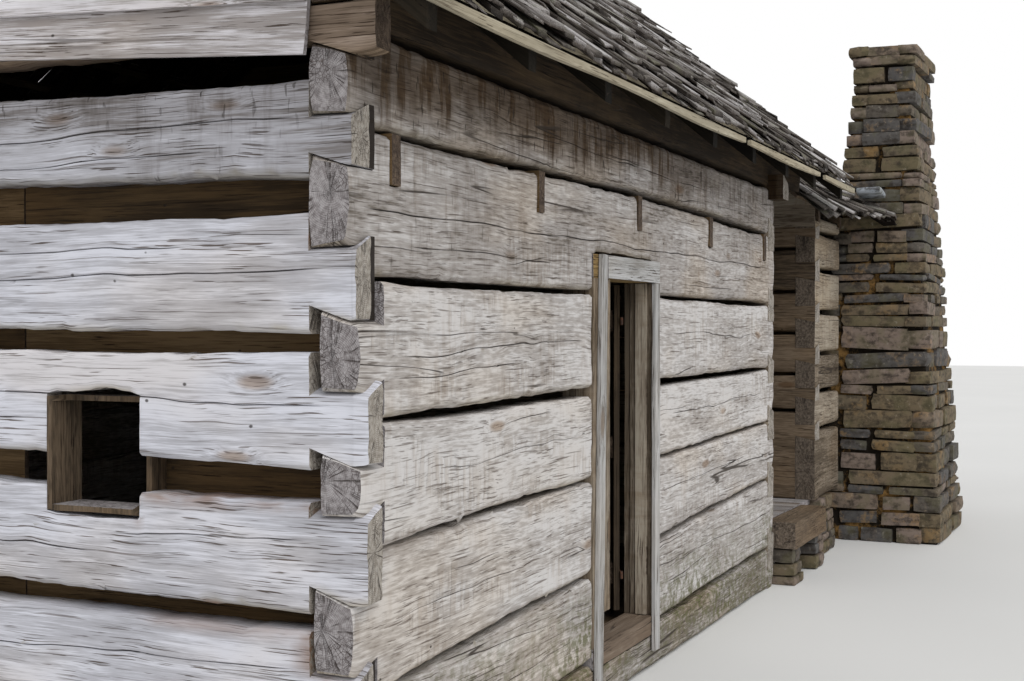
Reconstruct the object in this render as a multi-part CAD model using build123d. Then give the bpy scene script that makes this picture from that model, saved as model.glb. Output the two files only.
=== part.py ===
from build123d import *
import math
import os

os.makedirs("parts", exist_ok=True)

# A log cabin of two rooms ("pens") with an open passage between them. The walls are hewn plank
# logs whose ends cross in half-dovetail notches at every corner. All sizes are in millimetres.
# X runs along the front wall, away from the near end wall. Y runs into the building. Z is up.
# The origin is on the ground where the centre planes of the front and the near end wall cross.

# Walls
WALL = 150
SEAT = 0.3
EDGE = 5
WANE = 14
PEN_DEPTH = 5050
NEAR_LENGTH = 5180
PASSAGE = 1230
FAR_LENGTH = 3300
HALF = WALL / 2
PASSAGE_A = NEAR_LENGTH + HALF
PASSAGE_B = PASSAGE_A + PASSAGE
FAR_X = PASSAGE_B + HALF

# Heights of the notches, ground upwards: between two heights lies one log end, a front or rear
# log first, then a side log, and so on to the plate. Each height is taken at the middle of the
# notch, which falls by DOVETAIL across the wall's thickness.
DOVETAIL = 50
FAR_DOVETAIL = 30
NEAR_SEAMS = [0, 105, 240, 420, 625, 863, 1123, 1295, 1509, 1743, 1963, 2221, 2379, 2570, 2725, 2850]
MIDDLE_SEAMS = [0, 150, 370, 620, 800, 990, 1170, 1360, 1500, 1760, 1930, 2220, 2380, 2550, 2660, 2850]
FAR_SEAMS = [420.3, 875, 990, 1170, 1262, 1440, 1560, 1750, 1870, 2055, 2195, 2370, 2445, 2516]
CHINK = 16
TIGHT_CHINK = 5
FAR_CHINK = 24
FAR_FRONT_CHINK = 30

# The end wall's logs shrank most: bottom and top of each between its corners, and its bow
END_WALL_RANGES = [(0, 310), (360, 741), (797, 1148), (1250, 1620), (1678, 2058), (2168, 2475), (2600, 2715)]
END_WALL_BOWS = [6, 12, 30, 22, 16, 55, 6]

# How far each front log and each end of an end log stands out past the corner's plane
FRONT_OUT = [0, 0, 18, 44, 42, 0, 0, 0]
OUT_REACH = 1500
END_TAILS = [20, 35, 66, 68, 24, 8, 95]
BOWS = [9, -7, 5, -9, 8, -4, 6, 0]

# The chink over the fifth front log rises towards the near corner and its middle: what it adds to
# the lower and the upper edge of each front log at the corner, and its bow there
FRONT_LIFTS = [(0, 0), (0, 0), (0, 0), (0, 0), (0, 0), (0, 28), (28, 0), (0, 0)]
FRONT_BOWS = [(9, 9), (-7, -7), (5, 5), (-9, -9), (8, 8), (-4, 26), (26, 6), (0, 0)]

# Top log ends that stand out under the eaves
EAVE_TAIL = 95
PLATE_REACH = 745

# Doorway of the near pen
DOOR_X = 2125
DOOR_WIDTH = 655
DOOR_HEAD = 1918
CASING = 75
CASING_PROUD = 20
CASING_FOOT = 90
CASING_LEAN = 60
BUCK_NEAR = 135
BUCK_FAR = 60
POST = 90
POST_THICK = 35
POST_BACK = 5
POST_FOOT = 406
SILL_CUT = 170
THRESHOLD = 96
HEAD_BOARD = 108
FRAME_A = DOOR_X - BUCK_NEAR
FRAME_B = DOOR_X + DOOR_WIDTH + BUCK_FAR
FRAME_TOP = DOOR_HEAD + HEAD_BOARD
LOG_GAP = 6

# Door leaf, stored swung back into the room
LEAF_GAP = 8
LEAF_LIFT = 12
LEAF_THICK = 30
LEAF_BOARDS = 3
LEDGE_WIDTH = 110
LEDGE_THICK = 24
LEDGE_INSET = 180
LEDGE_SHORT = 40
LEAF_BOARD_GAP = 2
BARREL = 8
STRAP_WIDTH = 38
STRAP_THICK = 4
STRAP_LENGTH = 420
DOOR_OPEN = 155

# Window in the end wall
WINDOW_Y = 765
WINDOW_WIDTH = 355
WINDOW_LOW = 1090
WINDOW_HIGH = 1445
LINING = 22

# Loft joists let into the top of the fifth front course
JOIST_WIDTH = 60
JOIST_DEEP = 170
JOIST_TOPS = [2330, 2332, 2334, 2316, 2296]
JOIST_FIRST = 215
JOIST_LAST = 185
JOISTS = len(JOIST_TOPS)
JOIST_PITCH = (NEAR_LENGTH - JOIST_FIRST - JOIST_LAST) / (JOISTS - 1)
JOIST_PROUD = 5

# Floors: planks on sleepers, on joists let into the sills, and on beams over flat stones
FLOOR_THICK = 40
NEAR_FLOOR = 210
PASSAGE_FLOOR = 420
FAR_FLOOR = 620
FLOOR_BOARD = 240
FLOOR_GAP = 2
SLEEPER_WIDE = 160
SLEEPERS = 5
FAR_JOIST_WIDE = 110
FAR_JOIST_DEEP = 110
FAR_JOISTS = 5
POCKET = 50

# Doorway from the passage into the far pen
FAR_DOOR_Y = 2100
FAR_DOOR_WIDTH = 760
FAR_DOOR_HEAD = 2253
FAR_LINING = 30

# Boards nailed inside the end wall over the chinks
BACKING_THICK = 22
BACKING_LAP = 45
BACKING_JOINTS = [0.273, 0.624]
BACKING_GAP = 4

HEARTH_GAP = 60

# Passage beams and the stones and piers that carry the floors and the far pen
BEAM_DEEP = 180
BEAM_BACK = 40
FRONT_LOG_OUT = 145
FRONT_LOG_IN = 55
FRONT_LOG_SHORT = 265
BEAMS = 3
UNDER_SILL = 75
STONE_SIZE = 230
PIER_LONG = 420
PIER_SHORT = 200
PIER_FLARE = 30

# Roofs
PITCH = 40
RAFTER_DEEP = 90
RAFTER_WIDE = 70
FAR_RAFTER_DEEP = 70
HEEL = 30
LATH_THICK = 25
LATH_WIDE = 60
LATH_PITCH = 300
LATH_SHORT = 30
ROOF_THICK = 55
EAVE_OUT = 350
RAFTER_OUT = 270
FAR_RAFTER_OUT = 20
VERGE_NEAR = 250
VERGE_FAR = PASSAGE_B - 310
FAR_VERGE_OUT = 250
RAFTER_PAIRS = 8
RIDGE_Y = PEN_DEPTH / 2
TAN = math.tan(math.radians(PITCH))
COS = math.cos(math.radians(PITCH))

# Warped front slope of the far roof
FAR_ROOF_A = PASSAGE_B - 465
FAR_EAVE_A = 170
FAR_EAVE_B = 450
KICK = 290
KICK_START = 900

# Gable siding
BOARD_THICK = 20
BOARD_SHOW = 160
BOARD_LAP = 25
SIDING_LOW = 2575
SIDING_IN = 60
FAR_SIDING_LOW = 2440

# Chimney
CHIMNEY_WIDE = 1450
CHIMNEY_A = FAR_X + 820
CHIMNEY_B = CHIMNEY_A + CHIMNEY_WIDE
CHIMNEY_OUT = 800
CHIMNEY_IN = 25
CHIMNEY_TOP_WIDE = 1070
CHIMNEY_TOP_A = CHIMNEY_A + 50
CHIMNEY_TOP_B = CHIMNEY_TOP_A + CHIMNEY_TOP_WIDE
CHIMNEY_TOP_OUT = 560
CHIMNEY_TOP_IN = 80
SHOULDER = 1700
STACK_TOP = 3770
CAP_HIGH = 160
CAP_OUT = 35
FLUE_WALL = 230
FLUE_WALL_TOP = 126.5
FIREBOX_WIDTH = 850
FIREBOX_HIGH = 800
FIREBOX_DEEP = 480
CHIMNEY_GAP = 55
HEADER_BACK = 260


def box_at(x_a, x_b, y_a, y_b, z_a, z_b):
    """Block between two corners."""
    size = Box(x_b - x_a, y_b - y_a, z_b - z_a, align=(Align.MIN, Align.MIN, Align.MIN))
    return Pos(x_a, y_a, z_a) * size


def prism_y(points, y_a, y_b):
    """Outline in X and Z, given depth along Y."""
    face = Plane.XZ * make_face(Polyline(*points, close=True))
    return Pos(0, y_a, 0) * extrude(face, amount=-(y_b - y_a))


def prism_x(points, x_a, x_b):
    """Outline in Y and Z, given length along X."""
    face = Plane.YZ * make_face(Polyline(*points, close=True))
    return Pos(x_a, 0, 0) * extrude(face, amount=x_b - x_a)


def save(name, pieces):
    """Write one sub-part, made of one or more solids."""
    solids = [s for piece in pieces for s in piece.solids()]
    export_step(solids[0] if len(solids) == 1 else Compound(children=solids), f"parts/{name}.step")


# Half-dovetail log work

def body_range(seams, i, chink):
    """Bottom and top of log i between its corners, halfway into the crossing logs' ends."""
    low = seams[0] if i < 2 else (seams[i - 1] + seams[i] + chink) / 2
    high = seams[-1] if i + 2 > len(seams) - 1 else (seams[i + 1] + seams[i + 2] - chink) / 2
    return low, high


def log_section(x, low, high, out):
    """Section of a plank log with the wane left along its four edges, moved out of the wall."""
    a = -HALF - out
    b = HALF - out
    points = [(a, low + WANE), (a + WANE, low), (b - WANE, low), (b, low + WANE)]
    points += [(b, high - WANE), (b - WANE, high), (a + WANE, high), (a, high - WANE)]
    return Plane.YZ.offset(x) * make_face(Polyline(*points, close=True))


def log_body(x_a, x_b, range_a, range_b, bow, out):
    """Tapered log between two corners, the middle of its lower and upper edge raised by the bow.
    It stands out by a given length at its first end and comes back to the wall's plane."""
    middle = [(a + b) / 2 + rise for a, b, rise in zip(range_a, range_b, bow)]
    sections = [log_section(x_a, *range_a, out)]
    if out:
        share = 2 * OUT_REACH / (x_b - x_a)
        between = [a + (b - a) * share for a, b in zip(range_a, middle)]
        sections.append(log_section(x_a + OUT_REACH, *between, 0))
    sections.append(log_section((x_a + x_b) / 2, *middle, 0))
    sections.append(log_section(x_b, *range_b, 0))
    return loft(sections, ruled=True)


def log_end(low, high, fall, tail, level_low, level_high, out=0):
    """Half-dovetail end, tip towards -X and outside towards -Y. The underside falls towards the
    tip and the top falls towards the outside, so that the end can't be drawn out of the corner."""
    x_in = HALF + SEAT
    low_fall = 0 if level_low else fall
    high_fall = 0 if level_high else fall
    bottom = low if level_low else low + SEAT / 2
    top = high if level_high else high - SEAT / 2
    tip = bottom - low_fall / 2
    outline = [(-HALF, tip), (x_in, bottom + low_fall * x_in / WALL), (x_in, top + fall), (-HALF - tail, top + fall)]
    if tail:
        outline.append((-HALF - tail, tip))
    y_a = -HALF - out
    y_b = HALF - out
    cap = [(y_a, tip - fall), (y_b, tip - fall)]
    cap += [(y, top + high_fall * y / WALL) for y in (y_b, y_a)]
    return prism_y(outline, y_a, y_b) & prism_x(cap, -HALF - tail, x_in)


def wall_log(length, seams_a, seams_b, i, chink=CHINK, bow=(0, 0), fall=DOVETAIL, tail_a=0, tail_b=0, out=0,
             span=None, lift=(0, 0)):
    """One log from corner to corner, along +X with its outside towards -Y."""
    last = i == len(seams_a) - 2
    base = i == 0
    bend = (0, 0) if i < 2 or last else bow
    inner_a = HALF + SEAT
    inner_b = length - HALF - SEAT
    range_a = span or body_range(seams_a, i, chink)
    range_a = [z + rise for z, rise in zip(range_a, lift)]
    range_b = span or body_range(seams_b, i, chink)
    body = log_body(inner_a, inner_b, range_a, range_b, bend, out)
    end_a = log_end(seams_a[i], seams_a[i + 1], fall, tail_a, base, last, out)
    end_b = log_end(seams_b[i], seams_b[i + 1], fall, tail_b, base, last)
    return body + end_a + Pos(length, 0, 0) * mirror(end_b, about=Plane.YZ)


def front_place(x):
    return Location((x, 0, 0))


def rear_place(x):
    return Location((x, PEN_DEPTH, 0)) * Location((0, 0, 0), (0, 0, 180))


def near_side_place(x):
    return Location((x, PEN_DEPTH, 0)) * Location((0, 0, 0), (0, 0, -90))


def far_side_place(x):
    return Location((x, 0, 0)) * Location((0, 0, 0), (0, 0, 90))


def front_course(k):
    """Course k of the near pen's front wall: sill first, plate last."""
    i = 2 * k
    reach = PLATE_REACH if i == len(NEAR_SEAMS) - 2 else 0
    bow = FRONT_BOWS[k]
    lift = FRONT_LIFTS[k]
    log = wall_log(NEAR_LENGTH, NEAR_SEAMS, MIDDLE_SEAMS, i, bow=bow, tail_b=reach, out=FRONT_OUT[k], lift=lift)
    door = box_at(FRAME_A - LOG_GAP, FRAME_B + LOG_GAP, -WALL, WALL, SILL_CUT, FRAME_TOP + SEAT)
    log = log - door
    if k in (5, 6):
        for x, top in joist_places():
            log = log - joist_notch(x, 0, top)
    return log


def joist_places():
    """Place along the wall and height of each loft joist."""
    return [(JOIST_FIRST + n * JOIST_PITCH, top) for n, top in enumerate(JOIST_TOPS)]


def joist_notch(x, y, top):
    """Slot in the wall that takes one joist end."""
    wide = JOIST_WIDTH / 2 + SEAT
    return box_at(x - wide, x + wide, y - WALL, y + WALL, top - JOIST_DEEP - SEAT, top + SEAT)


def window_hole():
    y_b = WINDOW_Y + WINDOW_WIDTH
    grow = LINING + SEAT
    return box_at(-WALL, WALL, WINDOW_Y - grow, y_b + grow, WINDOW_LOW - grow, WINDOW_HIGH + grow)


def end_wall_course(k):
    """Course k of the near end wall."""
    i = 2 * k + 1
    tail = EAVE_TAIL if i == len(NEAR_SEAMS) - 3 else 0
    span = END_WALL_RANGES[k]
    bow = (END_WALL_BOWS[k], END_WALL_BOWS[k])
    log = wall_log(PEN_DEPTH, NEAR_SEAMS, NEAR_SEAMS, i, bow=bow, tail_a=tail, tail_b=END_TAILS[k], span=span)
    return near_side_place(0) * log - window_hole()


def rear_wall():
    logs = []
    for k in range(len(BOWS)):
        i = 2 * k
        reach = PLATE_REACH if i == len(NEAR_SEAMS) - 2 else 0
        log = wall_log(NEAR_LENGTH, MIDDLE_SEAMS, NEAR_SEAMS, i, TIGHT_CHINK, tail_a=reach)
        log = rear_place(NEAR_LENGTH) * log
        if k in (5, 6):
            for x, top in joist_places():
                log = log - joist_notch(x, PEN_DEPTH, top)
        logs.append(log)
    return logs


def passage_wall():
    logs = []
    for k in range(len(BOWS) - 1):
        i = 2 * k + 1
        tail = EAVE_TAIL if i == len(NEAR_SEAMS) - 3 else 0
        log = wall_log(PEN_DEPTH, MIDDLE_SEAMS, MIDDLE_SEAMS, i, TIGHT_CHINK, tail_a=tail, tail_b=tail)
        logs.append(far_side_place(NEAR_LENGTH) * log)
    return logs


# Inside the near pen

def loft_joists():
    y_a = -HALF - JOIST_PROUD
    y_b = PEN_DEPTH + HALF
    wide = JOIST_WIDTH / 2
    return [box_at(x - wide, x + wide, y_a, y_b, top - JOIST_DEEP, top) for x, top in joist_places()]


def backing_boards():
    """Boards nailed inside the end wall over each chink, in two or three lengths."""
    boards = []
    x_a = HALF + SEAT
    joints = [PEN_DEPTH * share for share in BACKING_JOINTS]
    starts = [HALF + EDGE] + [y + BACKING_GAP for y in joints]
    ends = joints + [PEN_DEPTH - HALF - EDGE]
    for k in range(1, len(END_WALL_RANGES) - 1):
        low = END_WALL_RANGES[k - 1][1] - BACKING_LAP
        high = END_WALL_RANGES[k][0] + END_WALL_BOWS[k] + BACKING_LAP
        over_window = high > WINDOW_LOW and low < WINDOW_HIGH
        for y_a, y_b in zip(starts, ends):
            if not (over_window and y_a < WINDOW_Y):
                boards.append(box_at(x_a, x_a + BACKING_THICK, y_a, y_b, low, high))
    return boards


def floor_boards(x_a, x_b, y_a, y_b, top):
    """Planks side by side, each laid along Y."""
    count = round((x_b - x_a) / FLOOR_BOARD)
    wide = (x_b - x_a) / count
    low = top - FLOOR_THICK
    return [box_at(x_a + n * wide, x_a + (n + 1) * wide - FLOOR_GAP, y_a, y_b, low, top) for n in range(count)]


def cross_bearers(x_a, x_b, y_a, y_b, count, wide, low, high):
    """Bearers along X, evenly spaced from y_a to y_b."""
    step = (y_b - y_a - wide) / (count - 1)
    return [box_at(x_a, x_b, y_a + n * step, y_a + n * step + wide, low, high) for n in range(count)]


def near_floor():
    edge = HALF + SEAT
    return floor_boards(edge, NEAR_LENGTH - edge, edge, PEN_DEPTH - edge, NEAR_FLOOR)


def near_sleepers():
    edge = HALF + SEAT
    high = NEAR_FLOOR - FLOOR_THICK - SEAT
    return cross_bearers(edge, NEAR_LENGTH - edge, edge, PEN_DEPTH - edge, SLEEPERS, SLEEPER_WIDE, 0, high)


def door_threshold():
    high = SILL_CUT + THRESHOLD
    return box_at(FRAME_A, FRAME_B, -HALF, HALF, SILL_CUT + SEAT, high)


def door_bucks():
    """Planks against the cut log ends. The near one carries a post that narrows the doorway."""
    y_b = HALF
    low = SILL_CUT + THRESHOLD + SEAT
    high = DOOR_HEAD - SEAT
    near = box_at(FRAME_A, DOOR_X, -HALF, y_b, low, high)
    y_post = -HALF + POST_BACK
    post = box_at(DOOR_X, DOOR_X + POST, y_post, y_post + POST_THICK, POST_FOOT, high)
    return [near + post, box_at(DOOR_X + DOOR_WIDTH, FRAME_B, -HALF, y_b, low, high)]


def door_frame():
    """Boards on the face of the wall, running down over the sill. The near one leans."""
    y_a = -HALF - CASING_PROUD
    top_a = DOOR_X - CASING
    points = [(top_a - CASING_LEAN, CASING_FOOT), (DOOR_X - CASING_LEAN, CASING_FOOT)]
    points += [(DOOR_X, FRAME_TOP), (top_a, FRAME_TOP)]
    x_b = DOOR_X + DOOR_WIDTH
    far = box_at(x_b, x_b + CASING, y_a, -HALF - SEAT, CASING_FOOT, DOOR_HEAD - SEAT)
    return [prism_y(points, y_a, -HALF - SEAT), far]


def door_head():
    """Board between the near casing and the far end of the frame, over the far casing."""
    x_b = DOOR_X + DOOR_WIDTH + CASING
    return box_at(DOOR_X + SEAT, x_b, -HALF - CASING_PROUD, -HALF - SEAT, DOOR_HEAD, FRAME_TOP)


def door_lintel():
    return box_at(FRAME_A, FRAME_B, -HALF, HALF, DOOR_HEAD, FRAME_TOP)


# Door leaf, drawn shut and swung back about its pins

HINGE_X = DOOR_X + DOOR_WIDTH
HINGE_Y = HALF + BARREL
LEAF_A = DOOR_X + LEAF_GAP
LEAF_B = HINGE_X - LEAF_GAP
LEAF_LOW = SILL_CUT + THRESHOLD + LEAF_LIFT
LEAF_HIGH = DOOR_HEAD - LEAF_GAP


def swung(shape):
    """Turn a piece of the shut door to its open rest position."""
    place = Location((HINGE_X, HINGE_Y, 0)) * Location((0, 0, 0), (0, 0, -DOOR_OPEN))
    return place * (Location((-HINGE_X, -HINGE_Y, 0)) * shape)


def door_leaf():
    wide = (LEAF_B - LEAF_A) / LEAF_BOARDS
    boards = []
    for n in range(LEAF_BOARDS):
        a = LEAF_A + n * wide
        board = box_at(a, a + wide - LEAF_BOARD_GAP, HALF - LEAF_THICK, HALF, LEAF_LOW, LEAF_HIGH)
        boards.append(swung(board))
    return boards


def door_ledges():
    """Two cross boards on the outer side of the leaf and one between them."""
    y_b = HALF - LEAF_THICK - SEAT
    y_a = y_b - LEDGE_THICK
    centres = [LEAF_LOW + LEDGE_INSET, (LEAF_LOW + LEAF_HIGH) / 2, LEAF_HIGH - LEDGE_INSET]
    half = LEDGE_WIDTH / 2
    ledges = []
    for z in centres:
        ledge = box_at(LEAF_A + LEDGE_SHORT, LEAF_B - LEDGE_SHORT, y_a, y_b, z - half, z + half)
        ledges.append(swung(ledge))
    return ledges


def door_hinges():
    """Strap and barrel at the upper and the lower ledge, on the room side of the leaf."""
    hinges = []
    for z in (LEAF_LOW + LEDGE_INSET, LEAF_HIGH - LEDGE_INSET):
        low = z - STRAP_WIDTH / 2
        y_a = HALF + SEAT
        strap = box_at(HINGE_X - STRAP_LENGTH, HINGE_X, y_a, y_a + STRAP_THICK, low, low + STRAP_WIDTH)
        barrel = Pos(HINGE_X, HINGE_Y, z) * Cylinder(BARREL - SEAT, STRAP_WIDTH)
        hinges.append(swung(strap + barrel))
    return hinges


def window_lining():
    """Thin boards round the small opening, set between the cut logs."""
    y_b = WINDOW_Y + WINDOW_WIDTH
    outer = box_at(-HALF, HALF, WINDOW_Y - LINING, y_b + LINING, WINDOW_LOW - LINING, WINDOW_HIGH + LINING)
    return outer - box_at(-WALL, WALL, WINDOW_Y, y_b, WINDOW_LOW, WINDOW_HIGH)


# Roofs

def slope_z(y, plate_top, lift):
    """Height over y of the front slope, lifted square to it from the rafters' undersides."""
    return plate_top - HEEL + (y + HALF) * TAN + lift / COS


def rafter(x, plate_top, deep, out):
    """Rafter of the front slope, cut to sit on the plate and plumb at the ridge."""
    foot = -HALF - out
    seat = plate_top + SEAT
    heel_in = -HALF + (HEEL + SEAT) / TAN
    ridge = RIDGE_Y - SEAT / 2
    points = [(foot, slope_z(foot, plate_top, 0)), (-HALF - SEAT, slope_z(-HALF - SEAT, plate_top, 0))]
    points += [(-HALF - SEAT, seat), (heel_in, seat), (ridge, slope_z(ridge, plate_top, 0))]
    points += [(ridge, slope_z(ridge, plate_top, deep)), (foot, slope_z(foot, plate_top, deep))]
    return prism_x(points, x, x + RAFTER_WIDE)


def rafter_pair(x, plate_top, deep, out):
    """Two rafters that lean on each other at the ridge."""
    front = rafter(x, plate_top, deep, out)
    return [front, over_ridge(front)]


def near_rafters():
    """Pairs from end wall to passage wall, and one more near the verge over the passage."""
    step = (PASSAGE_A - RAFTER_WIDE + HALF) / (RAFTER_PAIRS - 1)
    places = [-HALF + n * step for n in range(RAFTER_PAIRS)] + [VERGE_FAR - 2 * RAFTER_WIDE]
    return [r for x in places for r in rafter_pair(x, NEAR_SEAMS[-1], RAFTER_DEEP, RAFTER_OUT)]


def lath_rows(x_a, x_b, plate_top, deep, eave, skip_below=None):
    """Lath across the rafters on both slopes."""
    rows = []
    y = -HALF - eave + LATH_WIDE
    while y < RIDGE_Y - LATH_WIDE:
        z = slope_z(y, plate_top, deep + SEAT + LATH_THICK / 2)
        strip = Box(x_b - x_a, LATH_WIDE, LATH_THICK)
        front = Location(((x_a + x_b) / 2, y, z), (PITCH, 0, 0)) * strip
        rear = Location(((x_a + x_b) / 2, PEN_DEPTH - y, z), (-PITCH, 0, 0)) * strip
        if skip_below is None or y > skip_below:
            rows.append(front)
        rows.append(rear)
        y += LATH_PITCH * COS
    return rows


def roof_slab(x_a, x_b, plate_top, deep, eave):
    """One front slope of shakes as a slab from eave to ridge."""
    low = deep + LATH_THICK + 2 * SEAT
    high = low + ROOF_THICK
    y_e = -HALF - eave
    y_r = RIDGE_Y - SEAT
    points = [(y_e, slope_z(y_e, plate_top, low)), (y_r, slope_z(y_r, plate_top, low))]
    points += [(y_r, slope_z(y_r, plate_top, high)), (y_e, slope_z(y_e, plate_top, high))]
    return prism_x(points, x_a, x_b)


def over_ridge(shape):
    """The same piece on the rear slope."""
    return mirror(shape, about=Plane.XZ.offset(-RIDGE_Y))


def siding(plane_x, outward, low, plate_top, deep, y_a=-HALF):
    """Lapped boards over a gable, each leaning out over the one below."""
    tall = BOARD_SHOW + BOARD_LAP
    lean = (BOARD_THICK + SEAT) * tall / BOARD_SHOW
    y_b = PEN_DEPTH - y_a
    top_a = slope_z(y_a, plate_top, deep - SEAT)
    top_r = slope_z(RIDGE_Y, plate_top, deep - SEAT)
    gable = [(y_a, low - tall), (y_b, low - tall), (y_b, top_a)]
    gable += [(RIDGE_Y, top_r), (y_a, top_a)]
    shield = prism_x(gable, plane_x - WALL, plane_x + WALL)
    boards = []
    z = low
    near = plane_x + outward * SEAT
    while z < top_r - BOARD_SHOW / 2:
        foot_in = near + outward * lean
        points = [(foot_in, z), (foot_in + outward * BOARD_THICK, z)]
        points += [(near + outward * BOARD_THICK, z + tall), (near, z + tall)]
        boards.append(prism_y(points, y_a, y_b) & shield)
        z += BOARD_SHOW
    return boards


# Far pen

def chimney_space(grow, through_wall):
    """Space that the chimney takes out of the roof or, squared off behind, out of the wall."""
    sections = []
    for z in (0, SHOULDER, STACK_TOP):
        x_a, x_b, y_a, y_b = shrunk(chimney_face(z), -grow)
        sections.append(plan_rectangle(x_a, x_b, y_a, WALL if through_wall else y_b, z))
    return loft(sections, ruled=True)


def far_front_wall():
    logs = []
    for k in range(len(FAR_SEAMS) // 2):
        bow = (BOWS[k], BOWS[k])
        log = wall_log(FAR_LENGTH, FAR_SEAMS, FAR_SEAMS, 2 * k, FAR_FRONT_CHINK, bow, FAR_DOVETAIL)
        logs.append(front_place(FAR_X) * log - chimney_space(CHIMNEY_GAP, True))
    return logs


def far_rear_wall():
    logs = []
    for k in range(len(FAR_SEAMS) // 2):
        log = wall_log(FAR_LENGTH, FAR_SEAMS, FAR_SEAMS, 2 * k, TIGHT_CHINK, fall=FAR_DOVETAIL)
        logs.append(rear_place(FAR_X + FAR_LENGTH) * log)
    return logs


def far_doorway(grow, low):
    """Space of the doorway from the passage, grown by its lining."""
    y_b = FAR_DOOR_Y + FAR_DOOR_WIDTH + grow
    return box_at(PASSAGE_B - WALL, PASSAGE_B + 2 * WALL, FAR_DOOR_Y - grow, y_b, low, FAR_DOOR_HEAD + grow)


def far_door_lining():
    """Plank jambs and head, standing on the sill log."""
    low = FAR_FLOOR + SEAT
    whole = box_at(PASSAGE_B, PASSAGE_B + WALL, 0, PEN_DEPTH, low, FAR_DOOR_HEAD + WALL)
    return (whole & far_doorway(FAR_LINING, low)) - far_doorway(0, 0)


def far_door_sill():
    """Block under the far doorway, between the two halves of the lowest log."""
    y_b = FAR_DOOR_Y + FAR_DOOR_WIDTH + FAR_LINING
    low = FAR_SEAMS[0]
    return box_at(PASSAGE_B, PASSAGE_B + WALL, FAR_DOOR_Y - FAR_LINING, y_b, low, FAR_FLOOR - SEAT)


def far_side_wall(place, hole=None):
    logs = []
    chink = FAR_CHINK if hole else TIGHT_CHINK
    for k in range(len(FAR_SEAMS) // 2 - 1):
        bow = (BOWS[k], BOWS[k]) if hole else (0, 0)
        log = place * wall_log(PEN_DEPTH, FAR_SEAMS, FAR_SEAMS, 2 * k + 1, chink, bow, FAR_DOVETAIL)
        if hole:
            log = log - hole
        parts = [log, far_door_sill()] if hole and k == 0 else [log]
        if k == 0:
            for pocket in far_joist_row(SEAT):
                parts = [part - pocket for part in parts]
        logs += parts
    return logs


def far_rafters():
    """Pairs beside the chimney, with a header and a short rafter behind it."""
    top = FAR_SEAMS[-1]
    x_end = FAR_X + FAR_LENGTH + HALF - RAFTER_WIDE
    flank_a = CHIMNEY_A - CHIMNEY_GAP - RAFTER_WIDE
    flank_b = CHIMNEY_B + CHIMNEY_GAP
    places = (PASSAGE_B, flank_a, flank_b, x_end)
    pairs = [r for x in places for r in rafter_pair(x, top, FAR_RAFTER_DEEP, FAR_RAFTER_OUT)]
    jack, rear = rafter_pair((flank_a + flank_b) / 2, top, FAR_RAFTER_DEEP, FAR_RAFTER_OUT)
    y_head = HALF + HEADER_BACK
    y_back = y_head + FAR_RAFTER_DEEP
    cut = box_at(flank_a, flank_b + WALL, -WALL, y_back, 0, STACK_TOP)
    points = [(y_head, slope_z(y_head, top, 0)), (y_back, slope_z(y_back, top, 0))]
    points += [(y, z + FAR_RAFTER_DEEP / COS) for y, z in reversed(points)]
    header = prism_x(points, flank_a + RAFTER_WIDE + SEAT, flank_b - SEAT)
    return pairs + [(jack - cut) + header, rear]


def far_lath():
    x_a = FAR_ROOF_A + LATH_SHORT
    x_b = FAR_X + FAR_LENGTH + HALF + FAR_VERGE_OUT - LATH_SHORT
    rows = lath_rows(x_a, x_b, FAR_SEAMS[-1], FAR_RAFTER_DEEP, 0)
    cut = chimney_space(CHIMNEY_GAP, True)
    return [row - cut for row in rows]


def far_roof_section(x, eave, kick):
    """Section of the front slope that flattens towards a kicked-up eave."""
    top = FAR_SEAMS[-1]
    low = FAR_RAFTER_DEEP + LATH_THICK + 2 * SEAT
    y_e = -HALF - eave
    steps = [y_e + (KICK_START - y_e) * n / 4 for n in range(5)] + [RIDGE_Y - SEAT]
    under = []
    for y in steps:
        share = max(0, (KICK_START - y) / (KICK_START - y_e))
        under.append((y, slope_z(y, top, low) + kick * share**2))
    over = [(y, z + ROOF_THICK / COS) for y, z in reversed(under)]
    return Plane.YZ.offset(x) * make_face(Polyline(*(under + over), close=True))


def far_roof_front():
    x_b = FAR_X + FAR_LENGTH + HALF + FAR_VERGE_OUT
    sections = [far_roof_section(FAR_ROOF_A, FAR_EAVE_A, 0), far_roof_section(CHIMNEY_A, FAR_EAVE_B, KICK)]
    sections.append(far_roof_section(CHIMNEY_B, FAR_EAVE_B, KICK))
    sections.append(far_roof_section(x_b, FAR_EAVE_A, 0))
    return loft(sections, ruled=True) - chimney_space(CHIMNEY_GAP / 2, False)


def stone_pier(x, y, top, wide, deep):
    """Pier of flat stones, a little wider at the foot."""
    foot = Pos(x, y, 0) * Rectangle(wide + 2 * PIER_FLARE, deep + 2 * PIER_FLARE)
    head = Pos(x, y, top - SEAT) * Rectangle(wide, deep)
    return loft([foot, head])


def piers():
    """Piers under the far pen's corners and the middle of its rear and end walls."""
    top = FAR_SEAMS[0]
    half_long = PIER_LONG / 2 + PIER_FLARE + EDGE
    x_a = PASSAGE_B + UNDER_SILL + half_long
    x_b = FAR_X + FAR_LENGTH + HALF
    places = [(x, y) for x in (x_a, x_b - half_long) for y in (0, PEN_DEPTH)]
    places.append(((x_a + x_b) / 2, PEN_DEPTH))
    stones = [stone_pier(x, y, top, PIER_LONG, PIER_SHORT) for x, y in places]
    x_end = x_b - PIER_SHORT / 2 - PIER_FLARE - EDGE
    stones.append(stone_pier(x_end, RIDGE_Y, top, PIER_SHORT, PIER_LONG))
    return stones


# Passage

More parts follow.
